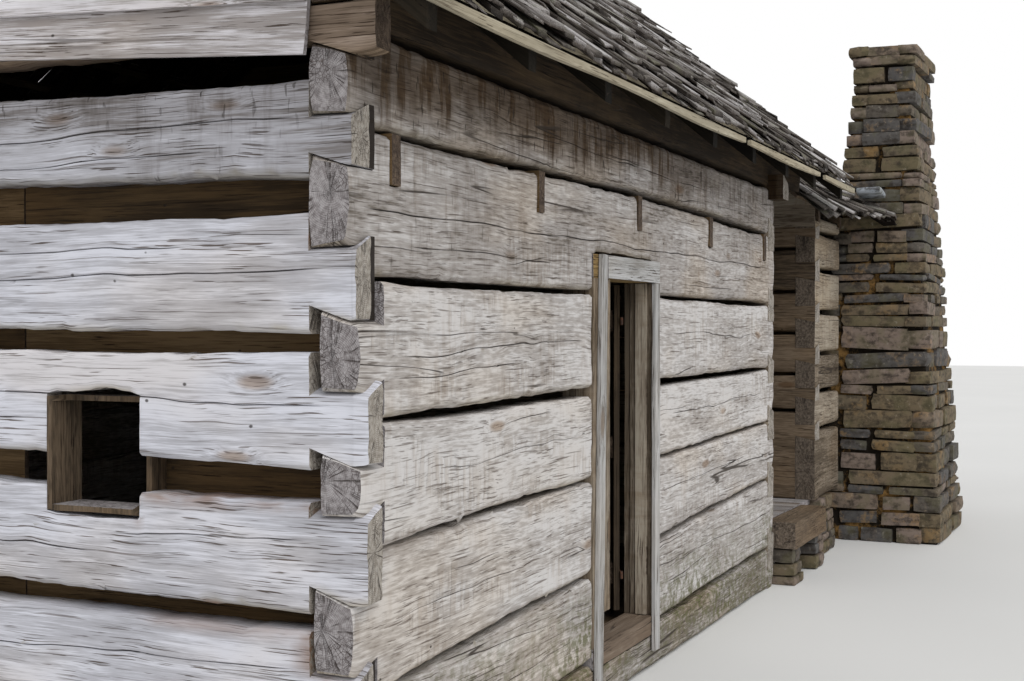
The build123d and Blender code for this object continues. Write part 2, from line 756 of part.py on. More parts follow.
def passage_beams():
    """Thick log at the front edge and three beams that carry the planks, from pen to pen and
    on under the far pen's side sill."""
    a = PASSAGE_A + SEAT
    b = PASSAGE_B + UNDER_SILL
    y_front = -HALF - FRONT_LOG_OUT
    y_back = -HALF + FRONT_LOG_IN
    low = PASSAGE_FLOOR - BEAM_DEEP
    beams = [box_at(a, PASSAGE_B - FRONT_LOG_SHORT, y_front, y_back, low, PASSAGE_FLOOR)]
    top = PASSAGE_FLOOR - FLOOR_THICK - SEAT
    y_a = HALF + BEAM_BACK
    return beams + cross_bearers(a, b, y_a, PEN_DEPTH + HALF, BEAMS, WALL, top - BEAM_DEEP, top)


def passage_stones():
    """Flat stones on the ground under both ends of every beam."""
    stones = []
    for beam in passage_beams():
        box = beam.bounding_box()
        reach = PIER_FLARE + STONE_SIZE / 2 + EDGE
        y = (box.min.Y + box.max.Y) / 2
        for x in (box.min.X + reach, box.max.X - reach):
            stones.append(stone_pier(x, y, box.min.Z, STONE_SIZE, WALL - EDGE))
    return stones


def passage_floor():
    x_b = PASSAGE_B + UNDER_SILL + FLOOR_GAP
    y_a = -HALF + FRONT_LOG_IN + SEAT
    return floor_boards(PASSAGE_A + SEAT, x_b, y_a, PEN_DEPTH + HALF, PASSAGE_FLOOR)


def far_joist_row(grow):
    """Floor joists of the far pen, their ends let into the side sills."""
    x_a = FAR_X + HALF - POCKET - grow
    x_b = FAR_X + FAR_LENGTH - HALF + POCKET + grow
    top = FAR_FLOOR - FLOOR_THICK - SEAT + grow
    y_a = HALF + CHIMNEY_IN + HEARTH_GAP - grow
    y_b = PEN_DEPTH - HALF - HEARTH_GAP + grow
    wide = FAR_JOIST_WIDE + 2 * grow
    return cross_bearers(x_a, x_b, y_a, y_b, FAR_JOISTS, wide, top - FAR_JOIST_DEEP - 2 * grow, top)


def far_floor():
    edge = HALF + SEAT
    y_a = HALF + CHIMNEY_IN + SEAT
    return floor_boards(FAR_X + edge, FAR_X + FAR_LENGTH - edge, y_a, PEN_DEPTH - edge, FAR_FLOOR)


# Chimney

def chimney_face(z):
    """Plan of the chimney at a height: it leans in on all sides as it rises."""
    share = z / STACK_TOP
    x_a = CHIMNEY_A + (CHIMNEY_TOP_A - CHIMNEY_A) * share
    x_b = CHIMNEY_B + (CHIMNEY_TOP_B - CHIMNEY_B) * share
    y_a = -HALF - CHIMNEY_OUT - (CHIMNEY_TOP_OUT - CHIMNEY_OUT) * share
    above = max(0, (z - SHOULDER) / (STACK_TOP - SHOULDER))
    y_b = HALF + CHIMNEY_IN - (WALL + CHIMNEY_IN + CHIMNEY_TOP_IN) * above
    return x_a, x_b, y_a, y_b


def plan_rectangle(x_a, x_b, y_a, y_b, z):
    return Pos((x_a + x_b) / 2, (y_a + y_b) / 2, z) * Rectangle(x_b - x_a, y_b - y_a)


def shrunk(plan, by):
    x_a, x_b, y_a, y_b = plan
    return x_a + by, x_b - by, y_a + by, y_b - by


def chimney_base():
    """Firebox block with an open front to the room and a throat above."""
    solid = loft([plan_rectangle(*chimney_face(0), 0), plan_rectangle(*chimney_face(SHOULDER), SHOULDER)])
    x_m = (CHIMNEY_A + CHIMNEY_B) / 2
    half = FIREBOX_WIDTH / 2
    y_b = HALF + CHIMNEY_IN
    y_a = y_b - FIREBOX_DEEP
    box_top = FAR_FLOOR + FIREBOX_HIGH
    firebox = box_at(x_m - half, x_m + half, y_a, y_b + EDGE, FAR_FLOOR, box_top)
    top_plan = shrunk(chimney_face(SHOULDER), FLUE_WALL)
    throat = loft([
        plan_rectangle(x_m - half, x_m + half, y_a, y_b - FLUE_WALL / 2, box_top - 1),
        plan_rectangle(*top_plan, SHOULDER + 1),
    ])
    return solid - firebox - throat


def chimney_stack():
    low = SHOULDER + SEAT
    solid = loft([plan_rectangle(*chimney_face(low), low), plan_rectangle(*chimney_face(STACK_TOP), STACK_TOP)])
    inner = loft([
        plan_rectangle(*shrunk(chimney_face(low), FLUE_WALL), low - 1),
        plan_rectangle(*shrunk(chimney_face(STACK_TOP), FLUE_WALL_TOP), STACK_TOP + 1),
    ])
    return solid - inner


def chimney_cap():
    """Ring of wider slabs round the flue."""
    x_a, x_b, y_a, y_b = shrunk(chimney_face(STACK_TOP), -CAP_OUT)
    low = STACK_TOP + SEAT
    ring = box_at(x_a, x_b, y_a, y_b, low, low + CAP_HIGH)
    inner = shrunk(chimney_face(STACK_TOP), FLUE_WALL_TOP)
    return ring - box_at(*inner, low - 1, low + CAP_HIGH + 1)


save("front_sill", [front_course(0)])
for k in range(1, 7):
    save(f"front_log_{k}", [front_course(k)])
save("front_plate", [front_course(7)])
for k in range(7):
    save(f"end_log_{k + 1}", [end_wall_course(k)])
save("rear_logs", rear_wall())
save("passage_logs", passage_wall())
save("loft_joists", loft_joists())
save("backing_boards", backing_boards())
save("near_floor", near_floor())
save("near_sleepers", near_sleepers())
save("threshold", [door_threshold()])
save("door_frame", door_frame())
save("door_bucks", door_bucks())
save("door_head", [door_head()])
save("door_lintel", [door_lintel()])
save("door_leaf", door_leaf())
save("door_ledges", door_ledges())
save("door_hinges", door_hinges())
save("window_lining", [window_lining()])
save("near_rafters", near_rafters())
near_verge = -HALF - VERGE_NEAR
near_lath = lath_rows(near_verge + LATH_SHORT, VERGE_FAR - LATH_SHORT, NEAR_SEAMS[-1], RAFTER_DEEP, RAFTER_OUT)
save("eave_strips", near_lath[:2])
save("near_lath", near_lath[2:])
near_slope = roof_slab(near_verge, VERGE_FAR, NEAR_SEAMS[-1], RAFTER_DEEP, EAVE_OUT)
save("near_roof_front", [near_slope])
save("near_roof_rear", [over_ridge(near_slope)])
save("near_siding", siding(-HALF, -1, SIDING_LOW, NEAR_SEAMS[-1], RAFTER_DEEP, SIDING_IN))
save("passage_siding", siding(PASSAGE_A, 1, SIDING_LOW, NEAR_SEAMS[-1], RAFTER_DEEP, HALF + EDGE))
save("passage_beams", passage_beams())
save("passage_stones", passage_stones())
save("passage_floor", passage_floor())
save("far_front_logs", far_front_wall())
save("far_rear_logs", far_rear_wall())
far_hole = far_doorway(FAR_LINING + SEAT, 0)
save("far_passage_logs", far_side_wall(near_side_place(FAR_X), far_hole))
save("far_door_lining", [far_door_lining()])
save("far_end_logs", far_side_wall(far_side_place(FAR_X + FAR_LENGTH)))
save("far_floor", far_floor())
save("far_joists", far_joist_row(0))
save("far_rafters", far_rafters())
save("far_lath", far_lath())
save("far_roof_front", [far_roof_front()])
far_end = FAR_X + FAR_LENGTH + HALF + FAR_VERGE_OUT
far_slope = roof_slab(FAR_ROOF_A, far_end, FAR_SEAMS[-1], FAR_RAFTER_DEEP, EAVE_OUT)
save("far_roof_rear", [over_ridge(far_slope)])
far_boards = siding(PASSAGE_B, -1, FAR_SIDING_LOW, FAR_SEAMS[-1], FAR_RAFTER_DEEP)
far_boards += siding(FAR_X + FAR_LENGTH + HALF, 1, FAR_SIDING_LOW, FAR_SEAMS[-1], FAR_RAFTER_DEEP)
save("far_siding", far_boards)
save("far_piers", piers())
save("chimney_base", [chimney_base()])
save("chimney_stack", [chimney_stack()])
save("chimney_cap", [chimney_cap()])
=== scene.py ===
# %% [markdown]
# # A hewn log cabin, dressed for its picture
#
# The cabin comes in as a plain model of exact size: every log, board and stone block is there, but
# flat and clean. This lesson roughens each piece into old wood and field stone. Nothing changes
# size: a worn surface always lies a little inside the plain one.

# %% Load the plain model
import itertools
import math

import bmesh
import bpy
import numpy as np
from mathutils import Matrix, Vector
from mathutils.bvhtree import BVHTree


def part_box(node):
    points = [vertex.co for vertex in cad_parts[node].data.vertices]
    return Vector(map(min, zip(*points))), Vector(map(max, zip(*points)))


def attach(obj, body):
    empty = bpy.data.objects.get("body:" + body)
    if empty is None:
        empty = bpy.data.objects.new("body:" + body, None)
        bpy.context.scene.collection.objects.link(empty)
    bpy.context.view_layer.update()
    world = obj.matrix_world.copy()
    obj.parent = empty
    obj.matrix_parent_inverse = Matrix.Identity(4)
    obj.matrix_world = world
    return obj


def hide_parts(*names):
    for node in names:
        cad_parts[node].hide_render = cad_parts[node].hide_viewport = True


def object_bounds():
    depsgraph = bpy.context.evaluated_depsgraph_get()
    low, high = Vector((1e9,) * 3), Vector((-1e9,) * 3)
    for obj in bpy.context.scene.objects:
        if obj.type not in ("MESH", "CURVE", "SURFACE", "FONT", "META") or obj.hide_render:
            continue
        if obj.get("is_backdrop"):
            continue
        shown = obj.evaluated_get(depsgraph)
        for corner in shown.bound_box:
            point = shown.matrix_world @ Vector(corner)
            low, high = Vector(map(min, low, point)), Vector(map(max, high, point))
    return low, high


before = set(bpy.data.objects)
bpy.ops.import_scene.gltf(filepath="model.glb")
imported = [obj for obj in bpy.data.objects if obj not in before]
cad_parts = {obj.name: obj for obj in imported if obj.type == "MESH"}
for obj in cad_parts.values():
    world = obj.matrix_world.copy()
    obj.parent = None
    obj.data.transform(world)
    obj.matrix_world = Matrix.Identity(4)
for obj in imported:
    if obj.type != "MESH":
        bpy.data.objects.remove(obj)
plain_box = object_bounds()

print("Plain model from", [round(v, 3) for v in plain_box[0]], "to", [round(v, 3) for v in plain_box[1]])

# %% [markdown]
# ## The camera
#
# The picture was taken close to the near corner, at eye height, looking along the front wall. The
# lens and the place were worked out from lines that are level or upright on the real cabin. A
# normal lens on a 36 mm sensor gives the same view.

# %% Camera
EYE = Vector((-3.745, -2.315, 1.70))
TURN = math.radians(24.7)
TILT = math.radians(-0.56)
FOCAL_MM = 48.73
SENSOR_MM = 36
lens = bpy.data.cameras.new("camera")
lens.lens = FOCAL_MM
lens.sensor_width = SENSOR_MM
camera = bpy.data.objects.new("camera", lens)
bpy.context.collection.objects.link(camera)
camera.location = EYE
gaze = Vector((math.cos(TURN) * math.cos(TILT), math.sin(TURN) * math.cos(TILT), math.sin(TILT)))
camera.rotation_euler = gaze.to_track_quat("-Z", "Y").to_euler()
bpy.context.scene.camera = camera
bpy.context.scene.view_settings.view_transform = "Standard"
print("Camera at", tuple(round(v, 3) for v in EYE), "looking along", tuple(round(v, 3) for v in gaze))

# %% [markdown]
# ## Writing a material as arithmetic
#
# A shader is a graph of small nodes, which is tiring to wire by hand. The two classes below let us
# write it as Python sums instead. `Val` stands for an output socket: adding two of them adds a Math
# node. `Finish` makes the material, and its one method `node` makes any other kind of node.

# %% Socket arithmetic
class Val:
    """An output socket that can be added, subtracted and multiplied like a number."""

    def __init__(self, finish, socket):
        self.finish = finish
        self.socket = socket

    def math(self, operation, *values):
        return self.finish.node("ShaderNodeMath", {"operation": operation}, list(values))

    def __add__(self, other):
        return self.math("ADD", self, other)

    __radd__ = __add__

    def __sub__(self, other):
        return self.math("SUBTRACT", self, other)

    def __rsub__(self, other):
        return self.math("SUBTRACT", other, self)

    def __mul__(self, other):
        return self.math("MULTIPLY", self, other)

    def __abs__(self):
        return self.math("ABSOLUTE", self)

    def fade(self, low, high):
        """0 below low, 1 above high, eased between them. The limits may run either way."""
        sockets = {"Value": self, "From Min": low, "From Max": high}
        return self.finish.node("ShaderNodeMapRange", {"interpolation_type": "SMOOTHSTEP"}, sockets)


class Finish:
    """A material with one Principled shader, and the helpers that feed it."""

    def __init__(self, name):
        self.material = bpy.data.materials.new(name)
        self.material.use_nodes = True
        self.tree = self.material.node_tree
        self.shader = self.tree.nodes["Principled BSDF"]
        self.shader.inputs["Specular IOR Level"].default_value = 0.2

    def node(self, kind, settings=None, sockets=None, out=0):
        """Adds a node of one kind, with its settings and the values of its sockets."""
        made = self.tree.nodes.new(kind)
        for key, value in (settings or {}).items():
            setattr(made, key, value)
        pairs = sockets.items() if isinstance(sockets, dict) else enumerate(sockets or [])
        for key, value in pairs:
            if isinstance(value, Val):
                self.tree.links.new(value.socket, made.inputs[key])
            else:
                made.inputs[key].default_value = value
        return Val(self, made.outputs[out])

    def attribute(self, name, vector=False):
        """A value that is written on the points of the mesh."""
        return self.node("ShaderNodeAttribute", {"attribute_name": name}, out=1 if vector else 2)

    def stretch(self, place, along, across):
        """Coordinates for marks that are long in the grain and narrow across it."""
        return self.node("ShaderNodeVectorMath", {"operation": "MULTIPLY"}, [place, (along, across, across)])

    def push(self, place, direction, amount):
        """Moves the coordinates along a direction by a varying amount."""
        step = self.node("ShaderNodeVectorMath", {"operation": "SCALE"}, {0: direction, "Scale": amount})
        return self.node("ShaderNodeVectorMath", {"operation": "ADD"}, [place, step])

    def noise(self, place, scale=1.0, detail=2.0, rough=0.5):
        sockets = {"Vector": place, "Scale": scale, "Detail": detail, "Roughness": rough}
        return self.node("ShaderNodeTexNoise", {}, sockets)

    def cells(self, place, scale, feature="F1"):
        """Distance in a field of scattered points, for holes, knots and fine nets."""
        return self.node("ShaderNodeTexVoronoi", {"feature": feature}, {"Vector": place, "Scale": scale})

    def mix(self, low, high, share, blend="MIX"):
        """Blends two colours."""
        settings = {"data_type": "RGBA", "blend_type": blend}
        return self.node("ShaderNodeMix", settings, {0: share, 6: rgba(low), 7: rgba(high)}, 2)

    def tint(self, color, glass, share):
        """The colour seen through coloured glass."""
        return self.mix(color, glass, share, "MULTIPLY")

    def finish(self, color, rough, height=None, depth=0.002):
        """Plugs the colour, roughness and relief into the shader."""
        links = self.tree.links
        links.new(color.socket, self.shader.inputs["Base Color"])
        if isinstance(rough, Val):
            links.new(rough.socket, self.shader.inputs["Roughness"])
        else:
            self.shader.inputs["Roughness"].default_value = rough
        if height is not None:
            bump = self.node("ShaderNodeBump", {}, {"Strength": 1.0, "Distance": depth, "Height": height})
            links.new(bump.socket, self.shader.inputs["Normal"])
        return self.material


def rgba(color):
    """A colour as a socket takes it, unless it comes from another node."""
    return color if isinstance(color, Val) else (*color, 1.0)


print("Materials are written with", Finish.__name__, "and", Val.__name__)

# %% [markdown]
# ## Steady random numbers
#
# Old wood is uneven, but the picture must come out the same each time. So every bit of
# unevenness comes from a hash of its place: the same place gives the same number. `noise` eases
# between such numbers, and `hewn` gives each broad axe cut its own flat, tilted bottom.

# %% Noise on arrays of points
def random_at(cells, seed):
    """One steady number from 0 to 1 for each whole-number cell."""
    c = cells.astype(np.int64)
    h = (c[..., 0] * 73856093) ^ (c[..., 1] * 19349663) ^ (c[..., 2] * 83492791) ^ (seed * 40503 + 977)
    h = ((h ^ (h >> 13)) * 1274126177) & 0xFFFFFFFF
    h = ((h ^ (h >> 15)) * 2246822519) & 0xFFFFFFFF
    return (h ^ (h >> 16)) / 4294967296.0


def noise(points, scale, seed):
    """Smooth noise from -1 to 1."""
    p = points * np.asarray(scale, dtype=float)
    base = np.floor(p)
    t = p - base
    t = t * t * (3 - 2 * t)
    total = np.zeros(len(p))
    for corner in itertools.product((0, 1), repeat=3):
        c = np.array(corner)
        total += np.where(c == 1, t, 1 - t).prod(axis=1) * random_at(base + c, seed)
    return total * 2 - 1


def hewn(points, size, seed):
    """Depth, from 0 to about 1, of broad cuts: each cell is one flat cut with a tilt of its own."""
    p = points / np.asarray(size, dtype=float)
    base = np.floor(p)
    best = np.full(len(p), 1e9)
    depth = np.zeros(len(p))
    for step in itertools.product((-1, 0, 1), (-1, 0, 1)):
        cell = base + np.array((step[0], 0, step[1]))
        centre = cell + 0.5
        centre[:, 0] += (random_at(cell, seed) - 0.5) * 0.8
        centre[:, 2] += (random_at(cell, seed + 1) - 0.5) * 0.8
        away = p - centre
        distance = away[:, 0] ** 2 + away[:, 2] ** 2
        tilt = (random_at(cell, seed + 2) - 0.5) * away[:, 0] + (random_at(cell, seed + 3) - 0.5) * away[:, 2]
        value = 0.25 + 0.5 * random_at(cell, seed + 4) + 0.6 * tilt
        nearer = distance < best
        best = np.where(nearer, distance, best)
        depth = np.where(nearer, value, depth)
    return np.clip(depth, 0, 1)


print("Noise at the origin:", round(float(noise(np.zeros((1, 3)) + 0.3, 1.0, 1)[0]), 3))

# %% [markdown]
# ## From arrays to a piece
#
# Every piece of the cabin is collected as plain arrays of points and faces, then made into one
# mesh. The values that its material needs, such as which way the grain runs at a point, are
# written on the points as attributes.

# %% Piece builder
class Heap:
    """Points, faces and attributes of one piece, gathered before it is made."""

    def __init__(self):
        self.points = []
        self.faces = []
        self.slots = []
        self.values = {}
        self.count = 0

    def add(self, points, faces, slots=None, **values):
        """Takes in points and faces, the material slot of each face and named values for the points."""
        self.faces += [[i + self.count for i in face] for face in faces]
        self.slots += list(slots) if slots is not None else [0] * len(faces)
        self.points.append(points)
        for key, value in values.items():
            self.values.setdefault(key, []).append(np.asarray(value, dtype=float))
        self.count += len(points)

    def make(self, name, materials, body="cabin", replaces=(), smooth=40.0):
        """Makes the mesh and hands it to a body, in place of the plain nodes that it replaces."""
        points = np.concatenate(self.points)
        mesh = bpy.data.meshes.new(name)
        mesh.from_pydata(points.tolist(), [], self.faces)
        for key, parts in self.values.items():
            values = np.concatenate(parts)
            kind = "FLOAT_VECTOR" if values.ndim == 2 else "FLOAT"
            field = "vector" if values.ndim == 2 else "value"
            mesh.attributes.new(key, kind, "POINT").data.foreach_set(field, values.ravel())
        for material in materials:
            mesh.materials.append(material)
        mesh.polygons.foreach_set("material_index", self.slots)
        mesh.polygons.foreach_set("use_smooth", [True] * len(mesh.polygons))
        mesh.update()
        mesh.set_sharp_from_angle(angle=math.radians(smooth))
        piece = bpy.data.objects.new(name, mesh)
        bpy.context.collection.objects.link(piece)
        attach(piece, body)
        if replaces:
            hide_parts(*replaces)
        triangles = sum(len(face) - 2 for face in self.faces)
        print(f"{name}: {triangles} triangles")
        return piece


print("Pieces are gathered in a", Heap.__name__)


# %% [markdown]
# ## Old wood
#
# Wood that has stood in the weather for a century turns silver. The soft spring wood washes out,
# so the surface gets fine ridges along the grain. Long checks open where it dried, and short ones
# between them. Dirt and mould stay in the hollows, and knots stay proud. All of it is long in the
# grain, so noise is squeezed across the grain and stretched along it.

# %% Weathered wood
STRAW = (1.0, 0.89, 0.74)
CHOP_SHADE = (0.78, 0.74, 0.70)
RUN_STAIN = (0.62, 0.53, 0.44)
KNOT_BROWN = (0.55, 0.42, 0.31)
EDGE_SHADE = (0.52, 0.46, 0.32)
# Painted shade with stain: the dark brown tint of wood under the eave and the passage roof.
STAIN_AND_SHADE = (0.17, 0.12, 0.075)
SCORE_BLACK = (0.03, 0.022, 0.016)
ROT_BROWN = (0.23, 0.135, 0.085)
MOSS_GREEN = (0.115, 0.115, 0.045)
HAIR_BROWN = (0.25, 0.21, 0.18)
CRACK_BLACK = (0.045, 0.034, 0.026)
HOLE_BLACK = (0.030, 0.022, 0.016)
CHECK_BLACK = (0.022, 0.016, 0.012)


def old_wood(name, pale, middle, dark, fine=6.0, dashes=1.0, checks=1.0, ripple=0.0, drips=0.0, warm=0.5,
             relief=0.003, chops=0.0, cool=0.0):
    """Weathered wood from three tones. Fine sets how short the dark dashes are. Dashes, checks and chops
    say how strong those marks are, ripple is a scaly skin and drips are brown runs. Warm is a straw
    cast, cool keeps it off the palest logs, and relief is the depth of the bump in metres."""
    f = Finish(name)
    grain = f.attribute("grain", vector=True)
    tone = f.attribute("tone")
    drift = f.noise(f.stretch(grain, 0.8, 3.0), detail=2.0) - 0.5
    swirl = f.cells(f.stretch(grain, 1.4, 4.0), 1.0).fade(0.22, 0.03)
    bent = f.push(grain, (0, 0.5, 1), drift * 0.045 + swirl * 0.02)
    fibre = f.noise(f.stretch(bent, 7.0, 240.0), detail=3.0, rough=0.65)
    streak = f.noise(f.stretch(bent, 2.2, 60.0), detail=4.0, rough=0.65)
    band = f.noise(f.stretch(bent, 0.8, 12.0), detail=2.0)
    patch = f.noise(f.stretch(grain, 1.6, 4.5), detail=4.0, rough=0.65)
    cast = f.noise(f.stretch(grain, 0.9, 2.0), detail=3.0)
    scale = f.noise(f.stretch(bent, 15.0, 80.0), detail=2.0) - 0.5
    dash = f.noise(f.stretch(bent, fine, 165.0), detail=2.0).fade(0.605, 0.655)
    thread = f.noise(f.stretch(bent, fine * 0.35, 130.0), detail=1.0).fade(0.66, 0.72)
    score = f.noise(f.stretch(grain, 55.0, 13.0), detail=1.0).fade(0.66, 0.72)
    dash_here = f.noise(f.stretch(grain, 2.5, 8.0), detail=2.0).fade(0.40, 0.58)
    line = abs(f.noise(f.stretch(bent, 0.32, 9.0), detail=2.0, rough=0.35) - 0.5)
    line_here = f.noise(f.stretch(grain, 1.1, 6.0), detail=1.0).fade(0.54, 0.62)
    hair = dash * dash_here * dashes + thread * 0.7
    crack = line.fade(0.008, 0.002) * line_here * checks
    holes = f.cells(f.stretch(grain, 5.0, 7.0), 1.0).fade(0.050, 0.020)
    chop = f.noise(f.stretch(grain, 38.0, 4.5), detail=1.0).fade(0.47, 0.60)
    chop = chop * f.noise(f.stretch(grain, 1.7, 5.0), detail=1.0).fade(0.52, 0.62) * chops
    wet = f.noise(f.stretch(grain, 17.0, 2.4), detail=4.0, rough=0.65).fade(0.46, 0.72)
    open_check = f.attribute("check")
    rot = f.attribute("rot") * patch.fade(0.38, 0.58)
    moss = f.attribute("moss") * f.noise(grain, 22.0, detail=4.0, rough=0.7).fade(0.40, 0.62)
    # Painted shade and real stain come in together on the points: the dark under the eave and the passage
    # roof, with brown grime.
    dirt = f.attribute("dirt") * (0.75 + wet * 0.5)
    under = f.attribute("under") * patch.fade(0.35, 0.60)

    share = streak * 0.45 + fibre * 0.40 + band * 0.30 + patch * 0.45 + scale * ripple + tone * 0.12
    color = f.mix(middle, pale, share.fade(0.78, 0.97))
    color = f.mix(color, dark, share.fade(0.79, 0.60))
    color = f.tint(color, STRAW, cast.fade(0.47, 0.64) * warm * (1.0 - tone * cool))
    color = f.tint(color, CHOP_SHADE, chop * 0.6)
    color = f.tint(color, RUN_STAIN, wet * patch.fade(0.40, 0.60) * drips)
    color = f.tint(color, KNOT_BROWN, swirl.fade(0.45, 1.0) * 0.8)
    color = f.tint(color, EDGE_SHADE, under * 0.7)
    # Painted shade with stain: the wood is tinted dark brown where the points carry it.
    color = f.tint(color, STAIN_AND_SHADE, dirt.fade(0.0, 1.0))
    color = f.mix(color, SCORE_BLACK, score * dirt.fade(0.15, 0.5) * 0.8)
    color = f.mix(color, ROT_BROWN, rot * 0.8)
    color = f.mix(color, MOSS_GREEN, moss)
    color = f.tint(color, HAIR_BROWN, hair)
    color = f.mix(color, CRACK_BLACK, crack * 0.9)
    color = f.mix(color, HOLE_BLACK, holes * 0.85)
    color = f.mix(color, CHECK_BLACK, open_check.fade(0.15, 0.85))
    height = fibre * 0.20 + streak * 0.35 + band * 0.2 + scale * ripple * 0.6
    height = height - hair * 0.4 - crack - holes * 0.6
    if chops:
        height = height - chop * 0.7
    return f.finish(color, 0.82 + fibre * 0.14, height, relief)


end_wall_wood = old_wood("end_wall_wood", (0.71, 0.72, 0.79), (0.46, 0.46, 0.50), (0.22, 0.205, 0.205),
                         fine=5.0, warm=0.40)
front_wood = old_wood("front_wood", (0.66, 0.64, 0.63), (0.43, 0.40, 0.38), (0.19, 0.165, 0.14), fine=8.0,
                      dashes=0.65, ripple=0.42, drips=0.35, warm=0.55, relief=0.004, chops=1.0, cool=0.6)
# Painted shade: nearly black wood stands for the dark under the eave on the plate, and inside the far room.
deep_shade_wood = old_wood("deep_shade_wood", (0.15, 0.105, 0.055), (0.070, 0.047, 0.026), (0.022, 0.015, 0.009),
                      warm=0.2)
shade_wood = old_wood("shade_wood", (0.22, 0.165, 0.115), (0.13, 0.094, 0.062), (0.05, 0.037, 0.025),
                      ripple=0.3)
# Painted shade: the near rafters are nearly black, for the dark under the eave.
shade_black = old_wood("shade_black", (0.030, 0.023, 0.015), (0.014, 0.011, 0.007), (0.006, 0.005, 0.004),
                      warm=0.2)
brown_log = old_wood("brown_log", (0.43, 0.34, 0.275), (0.24, 0.18, 0.135), (0.08, 0.057, 0.04),
                     dashes=1.5, warm=0.3)
siding_board = old_wood("siding_board", (0.86, 0.85, 0.89), (0.68, 0.66, 0.69), (0.34, 0.31, 0.30),
                        checks=0.7, warm=0.3)
lath_wood = old_wood("lath_wood", (0.51, 0.465, 0.36), (0.35, 0.31, 0.23), (0.16, 0.135, 0.095),
                     checks=0.3, warm=0.2)
door_wood = old_wood("door_wood", (0.085, 0.062, 0.040), (0.045, 0.033, 0.022), (0.018, 0.013, 0.009),
                     checks=0.5)
far_wood = old_wood("far_wood", (0.43, 0.375, 0.30), (0.26, 0.215, 0.165), (0.11, 0.085, 0.06),
                    ripple=0.3, drips=0.6)
brown_wood = old_wood("brown_wood", (0.17, 0.115, 0.060), (0.095, 0.060, 0.028), (0.04, 0.026, 0.014),
                      checks=0.5)
warm_board = old_wood("warm_board", (0.42, 0.30, 0.13), (0.27, 0.18, 0.075), (0.10, 0.07, 0.03), checks=0.5)
pale_board = old_wood("pale_board", (0.66, 0.66, 0.67), (0.46, 0.455, 0.45), (0.24, 0.225, 0.205),
                      checks=0.4, warm=0.3)
grey_board = old_wood("grey_board", (0.56, 0.545, 0.56), (0.36, 0.34, 0.335), (0.15, 0.13, 0.115),
                      checks=0.7)
trodden = old_wood("trodden", (0.27, 0.215, 0.165), (0.175, 0.13, 0.095), (0.08, 0.06, 0.045), warm=0.3)
# Painted shade: the boards inside are darkened for the dark under the roof.
inside_wood = old_wood("inside_wood", (0.15, 0.11, 0.07), (0.085, 0.06, 0.038), (0.03, 0.022, 0.015),
                       checks=0.5)
print("Wood finishes:", [m.name for m in bpy.data.materials if m.use_nodes])

# %% [markdown]
# ## End grain
#
# Where a log is cut across, its rings show, and cracks run from the heart to the bark. Each point
# of a log end carries its place measured from the heart, so the distance gives the rings, and the
# direction gives the cracks.

# %% End grain
def end_grain(name, pale, dark):
    """Rings, rays and cracks on the cut end of a log."""
    f = Finish(name)
    heart = f.attribute("heart", vector=True)
    place = f.attribute("grain", vector=True)
    blur = f.noise(place, 11.0, detail=3.0) - 0.5
    shaken = f.push(heart, (0, 1, 1), blur * 0.022)
    reach = f.node("ShaderNodeVectorMath", {"operation": "LENGTH"}, [shaken], out=1)
    way = f.node("ShaderNodeVectorMath", {"operation": "NORMALIZE"}, [shaken])
    rings = f.node("ShaderNodeMath", {"operation": "SINE"}, [reach * 900.0 + blur * 7.0]) * 0.5 + 0.5
    rays = f.noise(way, 22.0, detail=3.0, rough=0.6)
    here = f.noise(place, 17.0, detail=2.0).fade(0.42, 0.62)
    split = abs(f.noise(way, 5.5, detail=2.0) - 0.5).fade(0.035, 0.006) * here
    net = f.cells(f.push(place, (0, 1, 1), blur * 0.03), 62.0, "DISTANCE_TO_EDGE").fade(0.07, 0.01)
    net = net * f.noise(place, 9.0, detail=2.0).fade(0.40, 0.60)
    speck = f.noise(place, 60.0, detail=3.0)
    color = f.mix(dark, pale, (rings * 0.10 + rays * 0.4 + speck * 0.85).fade(0.42, 0.95))
    color = f.tint(color, (0.30, 0.25, 0.22), net * 0.75)
    color = f.mix(color, (0.045, 0.035, 0.03), split * 0.85)
    color = f.mix(color, (0.20, 0.10, 0.045), f.attribute("rot") * speck.fade(0.4, 0.6) * 0.8)
    height = rings * 0.3 + rays * 0.4 - split * 1.0 - net * 0.5 + speck * 0.3
    return f.finish(color, 0.92, height, 0.003)


log_end = end_grain("log_end", (0.44, 0.415, 0.42), (0.19, 0.17, 0.17))
brown_end = end_grain("brown_end", (0.17, 0.125, 0.09), (0.06, 0.043, 0.034))
tail_end = end_grain("tail_end", (0.52, 0.48, 0.43), (0.25, 0.22, 0.185))
shade_end = end_grain("shade_end", (0.21, 0.17, 0.135), (0.075, 0.058, 0.043))
print("End grain finishes:", log_end.name, brown_end.name)

# %% [markdown]
# ## Cutting a plain log into small faces
#
# A plain log is a handful of big flat faces, so there is nothing to dent. Bisecting it with many
# parallel planes keeps its exact shape, its notches and its tapers, and gives points all over it.
# The face that the weather sees gets closer rows than the hidden one.

